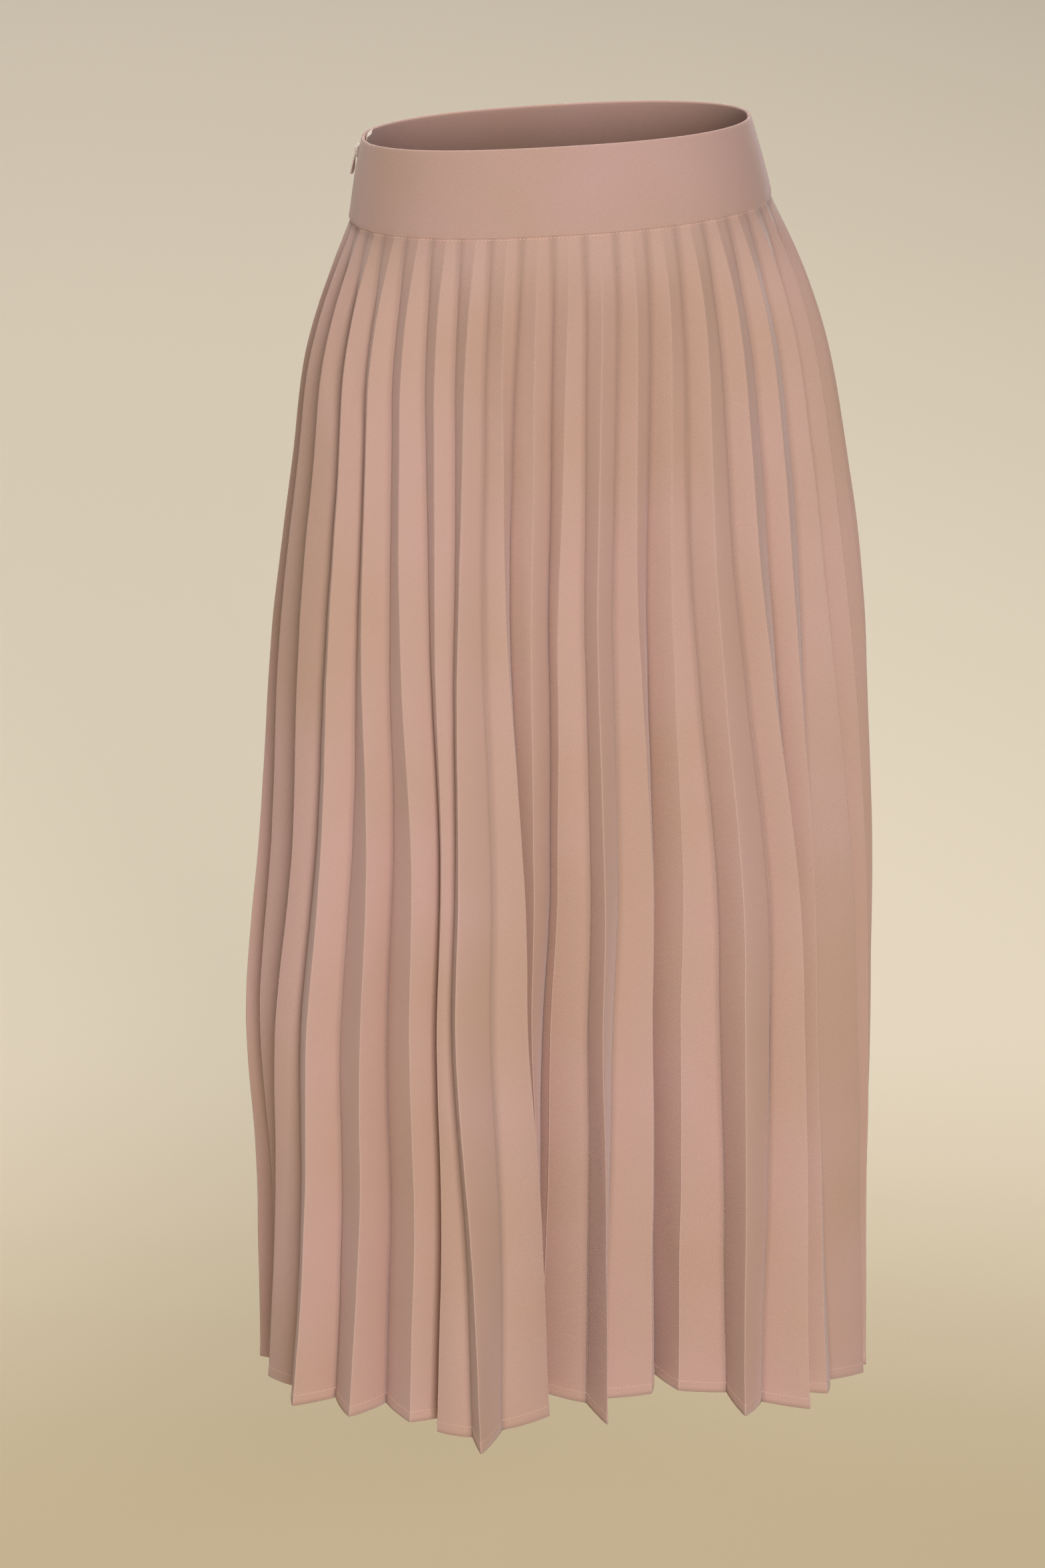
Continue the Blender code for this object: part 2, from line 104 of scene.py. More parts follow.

# %% [markdown]
# ## Floor and light
#
# A plain floor of pale paper lies well under the skirt, with plain pale air round it. Uncoated paper is
# quite matt, so it gives the eye only its tone, and a painted shade darkens that tone under the skirt.
# A large soft lamp stands far off, a little to the right of the camera, because the faces that look
# forwards and to the right are the bright ones. A weak one opens the shade on the left, one behind
# lights the skirt's back, and the last one washes the paper. The two far lamps are narrow, so that they
# spill little on the floor.

# %% Nodes and materials
def node(tree, kind, settings=None, links=None):
    """Add one node, set its properties and sockets, and link other nodes' sockets into it.

    A socket goes by its name, or by its number where several sockets share a name.
    """
    made = tree.nodes.new(kind)
    for name, value in (settings or {}).items():
        if isinstance(name, str) and hasattr(made, name):
            setattr(made, name, value)
        else:
            made.inputs[name].default_value = value
    for name, source in (links or {}).items():
        tree.links.new(source, made.inputs[name])
    return made


def start_material(name, finish):
    """A new material, its node tree, and its shader with the finish set on its sockets."""
    made = bpy.data.materials.new(name)
    made.use_nodes = True
    shader = made.node_tree.nodes["Principled BSDF"]
    for socket, value in finish.items():
        shader.inputs[socket].default_value = value
    return made, made.node_tree, shader


def two_tones(tree, shader, pattern, low, high):
    """Colour a shader between two tones by a pattern that goes from 0 to 1."""
    tone = node(tree, "ShaderNodeMix", {"data_type": "RGBA", 6: hex_colour(low), 7: hex_colour(high)},
                {0: pattern})
    tree.links.new(tone.outputs[2], shader.inputs["Base Color"])


def mottled(name, finish, size, detail, low, high):
    """A material whose tone wanders between two, by a noise of a size in millimetres."""
    made, tree, shader = start_material(name, finish)
    own = node(tree, "ShaderNodeTexCoord")
    spots = node(tree, "ShaderNodeTexNoise", {"Scale": 1.0 / (size * MM), "Detail": detail},
                 {"Vector": own.outputs["Object"]})
    two_tones(tree, shader, spots.outputs["Fac"], low, high)
    return made


print("helpers:", [helper.__name__ for helper in (node, start_material, two_tones, mottled)])

# %% Paper floor
FLOOR_Z, FLOOR_RADIUS, FLOOR_SIDES = -1.30, 4.9, 96
# The paper's own tone far off, and the painted shade it is given near the skirt.
PAPER_FAR, PAPER_PAINTED_SHADE = "#f0e3ca", "#c6b490"
PAPER_TURN_NEAR, PAPER_TURN_FAR = 0.8, 1.8
paper, paper_tree, paper_shader = start_material("matt_paper", {"Roughness": 0.9})
paper_place = node(paper_tree, "ShaderNodeTexCoord")
paper_flat = node(paper_tree, "ShaderNodeVectorMath", {"operation": "MULTIPLY", 1: (1.0, 1.0, 0.0)},
                  {0: paper_place.outputs["Object"]})
paper_reach = node(paper_tree, "ShaderNodeVectorMath", {"operation": "LENGTH"},
                   {0: paper_flat.outputs["Vector"]})
# Painted shade: the paper is coloured darker within about a metre of the skirt's foot, fading out by
# nearly two.
paper_shade_part = node(paper_tree, "ShaderNodeMapRange",
                  {"From Min": PAPER_TURN_NEAR, "From Max": PAPER_TURN_FAR,
                   "interpolation_type": "SMOOTHSTEP"}, {"Value": paper_reach.outputs["Value"]})
two_tones(paper_tree, paper_shader, paper_shade_part.outputs["Result"], PAPER_PAINTED_SHADE, PAPER_FAR)
disc = bmesh.new()
bmesh.ops.create_circle(disc, cap_ends=True, segments=FLOOR_SIDES, radius=FLOOR_RADIUS)
bmesh.ops.translate(disc, vec=(0.0, 0.0, FLOOR_Z), verts=disc.verts)
ground = add_object("paper_floor", bpy.data.meshes.new("paper_floor"))
disc.to_mesh(ground.data)
disc.free()
ground.data.materials.append(paper)
print("floor across, m:", 2 * FLOOR_RADIUS)

# %% Lamps
AIR_TONE, AIR_STRENGTH, WALL_TONE = "#f4f3f4", 0.20, "#d2c6b0"
LAMPS = (
    ("front_softbox", (0.95, -6.3, 1.9), (0.0, 0.0, -0.45), 1.8, 70.0, 52.0, "#fbf9fb"),
    ("left_fill", (-3.9, -1.6, 0.7), (0.0, 0.0, -0.2), 1.4, 180.0, 14.0, "#f6f3f4"),
    ("back_softbox", (-1.2, 8.8, 1.4), (0.0, 0.0, -0.4), 2.4, 70.0, 34.0, "#fbfaff"),
    ("paper_wash", (-0.4, 1.2, 3.2), (-0.4, 2.2, -1.3), 1.8, 180.0, 98.0, "#fffcf6"),
)


def add_lamp(name, place, aim, size, spread, watts, tone):
    """A square softbox that looks at its aim."""
    data = bpy.data.lights.new(name, "AREA")
    data.shape = "SQUARE"
    data.size = size
    data.spread = math.radians(spread)
    data.energy = watts
    data.color = hex_colour(tone)[:3]
    lamp = add_object(name, data)
    lamp.location = place
    lamp.rotation_euler = (Vector(aim) - lamp.location).to_track_quat("-Z", "Y").to_euler()
    lamp.visible_camera = False


for values in LAMPS:
    add_lamp(*values)

# The air lights the skirt softly, and only the camera sees it as a plain wall.
world = bpy.data.worlds.new("studio_air")
world.use_nodes = True
air = world.node_tree
soft_light = air.nodes["Background"]
soft_light.inputs["Color"].default_value = hex_colour(AIR_TONE)
soft_light.inputs["Strength"].default_value = AIR_STRENGTH
plain_wall = node(air, "ShaderNodeBackground", {"Color": hex_colour(WALL_TONE)})
ray = node(air, "ShaderNodeLightPath")
surround = node(air, "ShaderNodeMixShader", {}, {0: ray.outputs["Is Camera Ray"],
                                                1: soft_light.outputs[0], 2: plain_wall.outputs[0]})
air.links.new(surround.outputs[0], air.nodes["World Output"].inputs["Surface"])
bpy.context.scene.world = world
print("lamps:", [values[0] for values in LAMPS])

# %% [markdown]
# ## The body that fills the skirt
#
# Below the band the cloth hangs round a full oval, wider than deep. This table gives the outer edge of
# the folds at nine heights. A smooth curve between the rows gives every height in between.

# %% Sections of the skirt
SEAM_Z = -23.0
SKIRT_LENGTH = 774.0
OVAL_FULLNESS = 2.3
SEAM_TILT, HEM_TILT, SLOPE_ACROSS = 0.140, 0.190, 0.060
SEAM_GAP = 0.3
# The drop below the seam, the half width, the half depth, and the middle's place across.
SECTIONS = (
    (0, 127, 106, 0.5),
    (35, 141, 113, 2),
    (85, 157, 118, 3.5),
    (150, 168, 122, 5.5),
    (250, 180.5, 124, 5.5),
    (400, 189.5, 124, 4),
    (520, 195.5, 123, 0),
    (650, 192.5, 123, 2),
    (774, 193.5, 124, 2),
)


def smooth_value(at, places, values):
    """A smooth curve through the values at the places, read at one place."""
    slopes = np.gradient(np.asarray(values, dtype=float), np.asarray(places, dtype=float))
    k = int(np.clip(np.searchsorted(places, at) - 1, 0, len(places) - 2))
    span = places[k + 1] - places[k]
    t = (at - places[k]) / span
    return ((1 + 2 * t) * (1 - t) ** 2 * values[k] + t * (1 - t) ** 2 * span * slopes[k]
            + t * t * (3 - 2 * t) * values[k + 1] + t * t * (t - 1) * span * slopes[k + 1])


def section(drop):
    """The half width, the half depth and the middle at any drop below the seam."""
    drops, *columns = zip(*SECTIONS)
    return [smooth_value(drop, drops, column) for column in columns]


print("half width, half depth and middle 100 mm down:", [round(v, 1) for v in section(100.0)])

# %% [markdown]
# ## Reading an oval by its length
#
# Pleats are spaced along the cloth's edge and not by angle, so the oval is measured with many short
# steps, and a place on it is named by the fraction of its length from the front centre.

# %% Oval
class Oval:
    """A closed full oval, read by the fraction of its length from the front centre towards +X."""

    STEPS = 720
    NEAR = 0.002

    def __init__(self, half_width, half_depth, centre_x=0.0):
        angle = np.linspace(0.0, 2.0 * math.pi, self.STEPS + 1)
        power = 2.0 / OVAL_FULLNESS
        self.x = centre_x + half_width * np.sign(np.sin(angle)) * np.abs(np.sin(angle)) ** power
        self.y = -half_depth * np.sign(np.cos(angle)) * np.abs(np.cos(angle)) ** power
        run = np.concatenate([[0.0], np.cumsum(np.hypot(np.diff(self.x), np.diff(self.y)))])
        self.length = run[-1]
        self.fraction = run / run[-1]

    def plan(self, fraction):
        """The plan point at a fraction, or at an array of them."""
        here = np.mod(fraction, 1.0)
        return np.stack([np.interp(here, self.fraction, line) for line in (self.x, self.y)], -1)

    def outward(self, fraction):
        """The direction square to the oval, pointing out."""
        along = self.plan(np.asarray(fraction) + self.NEAR) - self.plan(np.asarray(fraction) - self.NEAR)
        along = along / np.linalg.norm(along, axis=-1, keepdims=True)
        return np.stack([along[..., 1], -along[..., 0]], -1)

    def point(self, fraction, stand=0.0):
        """The point at a fraction, moved outwards by stand."""
        return self.plan(fraction) + self.outward(fraction) * np.asarray(stand)[..., None]

    def nearest(self, x, y):
        """The fraction nearest to a plan point, and how far outside the oval the point stands."""
        k = int(np.argmin(np.hypot(self.x - x, self.y - y)))
        fraction = self.fraction[k] - (1.0 if self.fraction[k] > 0.5 else 0.0)
        out = self.outward(fraction)
        return fraction, (x - self.x[k]) * out[0] + (y - self.y[k]) * out[1]

    def front_at(self, x):
        """The fraction, on the front half, where the oval passes a distance from the centre line."""
        quarter = self.STEPS // 4
        order = np.r_[3 * quarter:4 * quarter, 0:quarter + 1]
        fractions = np.where(order >= 3 * quarter, self.fraction[order] - 1.0, self.fraction[order])
        return float(np.interp(x, self.x[order], fractions))


print("seam length, mm:", round(Oval(*SECTIONS[0][1:]).length))

# %% [markdown]
# ## Where the folds fall
#
# Each of the forty pleats has a ridge, which stands out, and a valley before it. On the front their
# places follow the real skirt: a row for each pleat gives its distance from the centre line at the hip
# and at the knee, and its plan at the hem. The folds round the back are spread evenly and drift by slow
# waves, as hanging pleats do.

# %% Fold table
PLEATS = 40
FIRST_FRONT, LAST_FRONT = -2, 17
FIRST_BACK, LAST_BACK = LAST_FRONT + 1, FIRST_FRONT - 1 + PLEATS
CENTRE_PLEAT, CENTRE_PLEAT_X = 8, 4.7
SEAM_FOLD, HEM_FOLD = 7.0, 25.0
SEAM_PRESS, PRESS_DROP, PRESS_OUT = 0.16, 56.0, 1.9
FOLD_GROWTH = 1.25
CLOTH_IN_FRAME = 1.0
HIP_DROP, KNEE_DROP = 177.0, 477.0
# The pleat, and then for its ridge and for its valley: x at the hip and at the knee, x and y at the hem.
FRONT_FOLDS = (
    (-1, -158, -181, -178, -8, -160, -183, -166, 8),
    (0, -147, -166, -182, -28, -151, -168, -159, -18),
    (1, -129, -142, -165, -91, -136, -155, -163, -56),
    (2, -113, -113, -129, -115, -119, -131, -138, -82),
    (3, -93, -86, -92, -127, -102, -104, -107, -95),
    (4, -72, -69, -74, -141, -79, -70, -63, -118),
    (5, -56, -57, -47, -174, -61, -61, -52, -150),
    (6, -33, -19, -6, -122, -45, -39, -34, -141),
    (7, -16, -16, -9, -107, -30, -25, -22, -96),
    (8, 1, -3, -12, -86, -6, -8, -20, -76),
    (9, 23, 27, 30, -134, 15, 19, 17, -103),
    (10, 46, 59, 58, -88, 33, 35, 26, -97),
    (11, 67, 78, 75, -82, 54, 60, 59, -56),
    (12, 90, 109, 117, -116, 78, 101, 106, -81),
    (13, 114, 141, 157, -99, 103, 129, 127, -92),
    (14, 134, 153, 169, -69, 125, 145, 143, -66),
    (15, 151, 176, 193, -20, 143, 156, 171, -41),
)
DRIFT_HIP, DRIFT_KNEE, DRIFT_HEM = 1.5, 4.5, 6.0
RIDGE_PHASE, VALLEY_PHASE = 0.5, 2.4
STAND_WAVE, STAND_WAVE_STEP, STAND_WAVE_START = 9.0, 0.75, 1.0
# The share, the step from fold to fold and the lag of each of two waves.
WAVES = ((0.6, 1.9, 1.0), (0.4, 3.3, 2.1))
HEIGHTS = (0.0, HIP_DROP, KNEE_DROP, SKIRT_LENGTH)


def fold_depth(drop):
    """How far the ridges stand out from the valleys."""
    return SEAM_FOLD + (HEM_FOLD - SEAM_FOLD) * drop / SKIRT_LENGTH


def mean_oval(drop):
    """The oval half way between the ridges and the valleys."""
    inset = (fold_depth(drop) + CLOTH_IN_FRAME) / 2
    half_width, half_depth, centre_x = section(drop)
    return Oval(half_width - inset, half_depth - inset, centre_x)


def even_fraction(index):
    """Where a ridge, or with a half less a valley, is sewn into the seam."""
    return (index - CENTRE_PLEAT) / PLEATS + CENTRE_PLEAT_X / mean_oval(0.0).length


def wave(index, phase):
    """A slow uneven wave between about -1 and 1, of two even ones."""
    return sum(share * math.sin(step * index + lag * phase) for share, step, lag in WAVES)


def shown_track(index, hip, knee, hem_x, hem_y):
    """Fractions at four heights, and the stand at the hem, of a front fold."""
    hem_fraction, hem_stand = mean_oval(SKIRT_LENGTH).nearest(hem_x, hem_y)
    return [even_fraction(index), mean_oval(HIP_DROP).front_at(hip),
            mean_oval(KNEE_DROP).front_at(knee), hem_fraction], hem_stand


def all_tracks():
    """The track of every fold. Ridges have whole numbers, and valleys the half below."""
    tracks = {}
    for pleat, *places in FRONT_FOLDS:
        tracks[float(pleat)] = shown_track(pleat, *places[:4])
        tracks[pleat - 0.5] = shown_track(pleat - 0.5, *places[4:])
    first, last = FRONT_FOLDS[0][0] - 0.5 + PLEATS, float(FRONT_FOLDS[-1][0])
    start, end = tracks[last][0], [f + 1.0 for f in tracks[first - PLEATS][0]]
    lengths = [mean_oval(drop).length for drop in HEIGHTS]
    drifts = (0.0, DRIFT_HIP, DRIFT_KNEE, DRIFT_HEM)
    for index in np.arange(last + 0.5, first, 0.5):
        part = (index - last) / (first - last)
        ridge = float(index).is_integer()
        phase = RIDGE_PHASE if ridge else VALLEY_PHASE
        fractions = []
        for begin, finish, drift, length in zip(start, end, drifts, lengths):
            here = begin + (finish - begin) * part
            fractions.append(here + drift * wave(index, phase) / length)
        fractions[0] = even_fraction(index)
        side = 1.0 if ridge else -1.0
        swing = STAND_WAVE * math.sin(math.pi * part)
        stand = side * HEM_FOLD / 2 + swing * math.sin(STAND_WAVE_STEP * index + STAND_WAVE_START)
        tracks[float(index)] = (fractions, stand)
    return tracks


TRACKS = all_tracks()
print("folds:", len(TRACKS))

# %% [markdown]
# ## One level of folded cloth
#
# At any height the cloth is a zigzag of straight runs between ridges and valleys. This cell gives its
# corners. The level is tilted, because the band sits higher in front.

# %% Fold corners at a level
def level_height(drop, x, y):
    """The height of a point of a level, which is raised at the front and towards the left hip."""
    part = drop / SKIRT_LENGTH
    tilt = SEAM_TILT + (HEM_TILT - SEAM_TILT) * part
    return SEAM_Z - SEAM_GAP - drop - tilt * y + SLOPE_ACROSS * x * (1.0 - part) ** 2


def track_of(index):
    """A fold's track, with the whole turns to add for a number outside the table's own range."""
    lowest = FRONT_FOLDS[0][0] - 0.5
    wrapped = (index - lowest) % PLEATS + lowest
    return TRACKS[wrapped], (index - wrapped) / PLEATS


def opened(drop):
    """The share of its depth that a fold has. The band's seam presses the pleats nearly flat."""
    rise = min(drop / PRESS_DROP, 1.0)
    return SEAM_PRESS + (1.0 - SEAM_PRESS) * rise * rise * (3.0 - 2.0 * rise)


def fold_place(index, drop):
    """A fold's fraction at a drop, and how far it stands out of the mean oval."""
    (places, hem_stand), turns = track_of(index)
    start = SEAM_FOLD / 2 if index.is_integer() else -SEAM_FOLD / 2
    growth = (drop / SKIRT_LENGTH) ** FOLD_GROWTH
    return smooth_value(drop, HEIGHTS, places) + turns, start + (hem_stand - start) * growth


def fold_corners(first, last, drop):
    """The corners of a panel's zigzag at one level. Above the seam it goes straight up into the band."""
    below = max(drop, 0.0)
    oval = mean_oval(below)
    folds = [fold_place(float(index), below) for index in np.arange(first - 0.5, last + 1.0, 0.5)]
    fractions, stands = np.array(folds).T
    pressed = 1.0 - opened(below)
    plan = oval.point(fractions, stands * (1.0 - pressed) + PRESS_OUT * pressed)
    edge = oval.point(fractions, np.full(len(fractions), (fold_depth(below) + CLOTH_IN_FRAME) / 2))
    return np.column_stack([plan, level_height(below, edge[:, 0], edge[:, 1]) + below - drop])


print("corners at the hem of the front:", len(fold_corners(FIRST_FRONT, LAST_FRONT, SKIRT_LENGTH)))

# %% [markdown]
# ## Rows and columns of cloth
#
# The cloth starts as a flat grid, as cut cloth does. Each face of a pleat gets seven columns, close
# together beside the pressed creases so that they stay crisp, and the rows lie closer at the seam and at
# the hem. A face isn't quite flat: it bows out a little between its creases, and less where the next
# face leaves no room.

# %% One row of cloth
FACE_STEPS = (0.0, 0.03, 0.12, 0.35, 0.65, 0.88, 0.97)
FACE_BOW = 2.6
BOW_SHARE = 0.13
BOW_EVEN, BOW_UNEVEN, BOW_PHASE = 0.6, 0.4, 0.9
SEAM_ROWS = (-2.0, 0.0, 1.2, 3.0, 6.0, 10.0)
BODY_START, BODY_STEP = 14.5, 5.6
HEM_TURN = 7.0
HEM_ROWS = (760.0, 763.5, 765.8, 766.6, 767.4, 768.4, 770.5, 774.0)
ROWS = np.concatenate([SEAM_ROWS, np.arange(BODY_START, HEM_ROWS[0] - 1.0, BODY_STEP), HEM_ROWS])


def cloth_row(first, last, drop):
    """The places of a row's points, which way is out there, and each point's face, step and width."""
    corners = fold_corners(first, last, drop)
    run = np.diff(corners, axis=0)
    width = np.linalg.norm(run, axis=1)
    out = np.column_stack([run[:, 1], -run[:, 0], np.zeros(len(run))])
    out /= np.linalg.norm(out, axis=1, keepdims=True)
    middles = (corners[1:] + corners[:-1]) / 2
    apart = np.linalg.norm(np.diff(middles, axis=0), axis=1)
    room = np.minimum(np.append(apart, apart[-1]), np.append(apart[0], apart))
    ease = np.array([BOW_EVEN + BOW_UNEVEN * wave(first + k, BOW_PHASE) for k in range(len(run))])
    bow = np.minimum(FACE_BOW * max(drop, 0.0) / SKIRT_LENGTH, BOW_SHARE * room) * ease
    face = np.append(np.repeat(np.arange(len(run)), len(FACE_STEPS)), len(run) - 1)
    step = np.append(np.tile(FACE_STEPS, len(run)), 1.0)
    lift = bow[face] * 4.0 * step * (1.0 - step)
    places = corners[face] + run[face] * step[:, None] + out[face] * lift[:, None]
    return {"place": places, "out": out[face], "face": face, "step": step, "width": width[face]}


print("rows:", len(ROWS), "columns:", len(cloth_row(FIRST_FRONT, LAST_FRONT, 0.0)["step"]))

# %% [markdown]
# ## Soft creases
#
# Pressed cloth that has been worn and hung has a few soft troughs and ridges that no iron made. They are
# listed one by one, by the fold they lie on and how far down they run, and no two are the same. The ones
# on the back are of the same kind.

# %% Soft creases
# The fold at the upper and at the lower end, the drop of both, the width, and how far it stands out.
SOFT_CREASES = (
    (1.12, 1.46, 70, 124, 2.4, -2.4),
    (0.14, 0.44, 52, 130, 3.4, -2.2),
    (2.20, 2.35, 150, 268, 5, -0.8),
    (3.10, 3.40, 330, 470, 7, 0.9),
    (4.15, 4.40, 560, 690, 7, -1.1),
    (5.20, 5.30, 300, 395, 5, 0.6),
    (6.12, 6.38, 470, 640, 9, -1.3),
    (7.62, 7.90, 210, 300, 4, 0.5),
    (8.60, 8.85, 520, 700, 8, -1.2),
    (9.65, 9.80, 350, 430, 5, 0.7),
    (10.60, 10.85, 600, 742, 8, -1.2),
    (11.58, 11.90, 120, 190, 4, -0.6),
    (12.70, 12.62, 420, 610, 9, 1.2),
    (13.62, 13.90, 95, 165, 4, -0.9),
    (14.60, 14.80, 280, 350, 6, -0.7),
    (15.60, 15.75, 520, 655, 7, 0.9),
    (18.60, 18.85, 88, 140, 4, -1.1),
    (20.62, 20.90, 330, 505, 8, 1.1),
    (22.15, 22.40, 590, 728, 8, -1.2),
    (24.60, 24.75, 180, 262, 5, -0.8),
    (26.12, 26.40, 440, 560, 7, 1),
    (28.65, 28.85, 620, 735, 8, -1.1),
    (30.10, 30.35, 250, 372, 6, -0.9),
    (32.60, 32.88, 500, 604, 7, 0.8),
    (34.12, 34.36, 110, 168, 4, -1),
    (35.62, 35.80, 380, 452, 6, -0.7),
)


def soft_crease_lift(fold, drop, fold_width):
    """How far all the soft creases together move the cloth out, at a fold's place and a drop."""
    lift = np.zeros(len(fold))
    for upper_fold, lower_fold, upper, lower, width, depth in SOFT_CREASES:
        part = (drop - upper) / (lower - upper)
        if 0.0 < part < 1.0:
            middle = upper_fold + (lower_fold - upper_fold) * part
            across = (fold - middle) * fold_width / width
            lift += depth * math.sin(math.pi * part) * np.exp(-across * across)
    return lift


print("soft creases:", len(SOFT_CREASES))

# %% [markdown]
# ## The cloth panels
#
# Front and back are one grid each, of crepe half a millimetre thick, and thicker along the hem where
# the edge is turned under twice. A slow noise keeps the long faces from looking machined. It starts
# from the clock unless it has a seed, so it gets a fixed one. Each point also notes how far it is from
# its nearest crease and from its valley, for the material.

# %% Shape a row
SLOW_SIZE, SLOW_SWAY = 95.0, 0.9
QUICK_SIZE, QUICK_SWAY = 30.0, 0.22
NOISE_SEED = 11
noise.seed_set(NOISE_SEED)


def sway(point):
    """A small slow shift that differs from place to place, in millimetres."""
    slow = noise.noise_vector(point / SLOW_SIZE) * SLOW_SWAY
    return slow + noise.noise_vector(point / QUICK_SIZE) * QUICK_SWAY


def shaped_row(first, last, drop):
    """A row of cloth with its soft creases and its sway worked in."""
    row = cloth_row(first, last, drop)
    fold = first - 0.5 + (row["face"] + row["step"]) / 2.0
    lift = soft_crease_lift(fold, drop, 2.0 * row["width"])
    calm = min(max(drop, 0.0) / HIP_DROP, 1.0)
    moved = [Vector(p) for p in row["place"] + row["out"] * lift[:, None]]
    row["place"] = [point + sway(point) * calm for point in moved]
    return row


print("a seam corner, mm:", [round(v, 1) for v in shaped_row(FIRST_FRONT, LAST_FRONT, 0.0)["place"][0]])

# %% Make a panel
CREPE_THICK, HEM_THICK = 0.5, 0.95
FACE_APART = 60.0


def add_piece(name, mesh, body="skirt"):
    """Turn a bmesh into a smooth-shaded object that rides on a body of the frame."""
    data = bpy.data.meshes.new(name)
    mesh.to_mesh(data)
    mesh.free()
    data.shade_smooth()
    piece = add_object(name, data)
    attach(piece, body)
    return piece


def lay_grid(mesh, columns, rows):
    """Add a flat grid, and say in which column and row from its top left each point lies."""
    bmesh.ops.create_grid(mesh, x_segments=columns, y_segments=rows, size=0.5)
    mesh.verts.index_update()
    return [(round((v.co.x + 0.5) * columns), round((0.5 - v.co.y) * rows)) for v in mesh.verts]


def lay_weave(mesh, uv, places, rows):
    """Lay the weave on each face of a pleat in real size, square to the face's own middle."""
    per_face = len(FACE_STEPS)
    for quad in mesh.faces:
        spots = [places[corner.vert.index] for corner in quad.loops]
        face = min(column for column, down in spots) // per_face
        for corner, (column, down) in zip(quad.loops, spots):
            step = 1.0 if column == (face + 1) * per_face else rows[down]["step"][column]
            across = face * FACE_APART + (step - 0.5) * rows[down]["width"][face * per_face]
            corner[uv].uv = (across * MM, -ROWS[down] * MM)


def make_panel(name, first, last):
    """A panel of pleated cloth: a flat grid, carried to its folds row by row."""
    rows = [shaped_row(first, last, drop) for drop in ROWS]
    mesh = bmesh.new()
    uv = mesh.loops.layers.uv.new("weave")
    # The crepe paints a highlight beside each crease and a shade near each valley from these two
    # distances.
    beside = mesh.verts.layers.float.new("crease_distance")
    inside = mesh.verts.layers.float.new("valley_distance")
    places = lay_grid(mesh, len(rows[0]["step"]) - 1, len(rows) - 1)
    for vertex, (column, down) in zip(mesh.verts, places):
        row = rows[down]
        step = row["step"][column]
        vertex[beside] = min(step, 1.0 - step) * row["width"][column]
        vertex[inside] = (step if row["face"][column] % 2 == 0 else 1.0 - step) * row["width"][column]
        vertex.co = row["place"][column] * MM
    lay_weave(mesh, uv, places, rows)
    area = sum(quad.calc_area() for quad in mesh.faces)
    piece = add_piece(name, mesh)
    hem = piece.vertex_groups.new(name="hem")
    turned = [k for k, (column, down) in enumerate(places) if ROWS[down] > SKIRT_LENGTH - HEM_TURN]
    hem.add(turned, 1.0, "REPLACE")
    wall = piece.modifiers.new("wall", "SOLIDIFY")
    wall.thickness = HEM_THICK * MM
    wall.offset = 0.0
    wall.vertex_group = "hem"
    wall.thickness_vertex_group = CREPE_THICK / HEM_THICK
    edge = np.diff(np.array([list(p) for p in rows[-1]["place"]]), axis=0)
    hem_length = float(np.linalg.norm(edge, axis=1).sum()) * MM
    print(name, "area, m2:", round(area, 3), "hem, m:", round(hem_length, 3))
    return piece, area, hem_length


front_cloth, front_area, front_hem = make_panel("skirt_front_cloth", FIRST_FRONT, LAST_FRONT)
back_cloth, back_area, back_hem = make_panel("skirt_back_cloth", FIRST_BACK, LAST_BACK)

# %% [markdown]
# ## Crepe
#
# The cloth is polyester crepe in a fine twill: matt, with a faint bloom at grazing angles, a diagonal
# rib under half a millimetre wide and a pebbled grain from its twisted yarns. The rib is drawn about
# twice as wide as it is, because the real one is finer than the picture. Pressing pinches each crease a
# little, a painted highlight makes each crease paler down the skirt, and a painted shade darkens the
# cloth near each valley. Dye takes unevenly, so the colour wanders between pink and tan.

# %% Crepe material
RIB_WIDTH, RIB_SHARE = 1.0, 0.6
RIB_LEAN = math.radians(52.0)
GRAIN_SIZE, CLOUD_SIZE = 0.8, 130.0
CLOUD_LOW, CLOUD_HIGH = 0.35, 0.65
WEAVE_LOW, WEAVE_HIGH = 0.35, 1.25
FLECK_DARK, FLECK_PALE = 0.86, 1.08
# The painted crease highlight: how far from the crease it reaches, how strong it is, and where it grows
# down the skirt.
CREASE_NEAR, CREASE_FAR, CREASE_HIGHLIGHT_SHARE = 0.1, 0.8, 0.28
FADE_START, FADE_END = 180.0, 640.0
# The painted valley shade: where it starts and ends, and how dark it gets.
VALLEY_NEAR, VALLEY_REACH, VALLEY_PAINTED_SHADE = 0.2, 4.5, 0.83
PINCH_HIGH, WEAVE_HIGH_MM = 8.0, 0.12
WAVE_PERIODS = math.pi / 10.0
DARKEN = {"data_type": "RGBA", "blend_type": "MULTIPLY", 0: 1.0}
CREPE_FINISH = {"Roughness": 0.82, "Specular IOR Level": 0.3, "Sheen Weight": 0.36,
                "Sheen Roughness": 0.45, "Sheen Tint": hex_colour("#e6dcdd")}


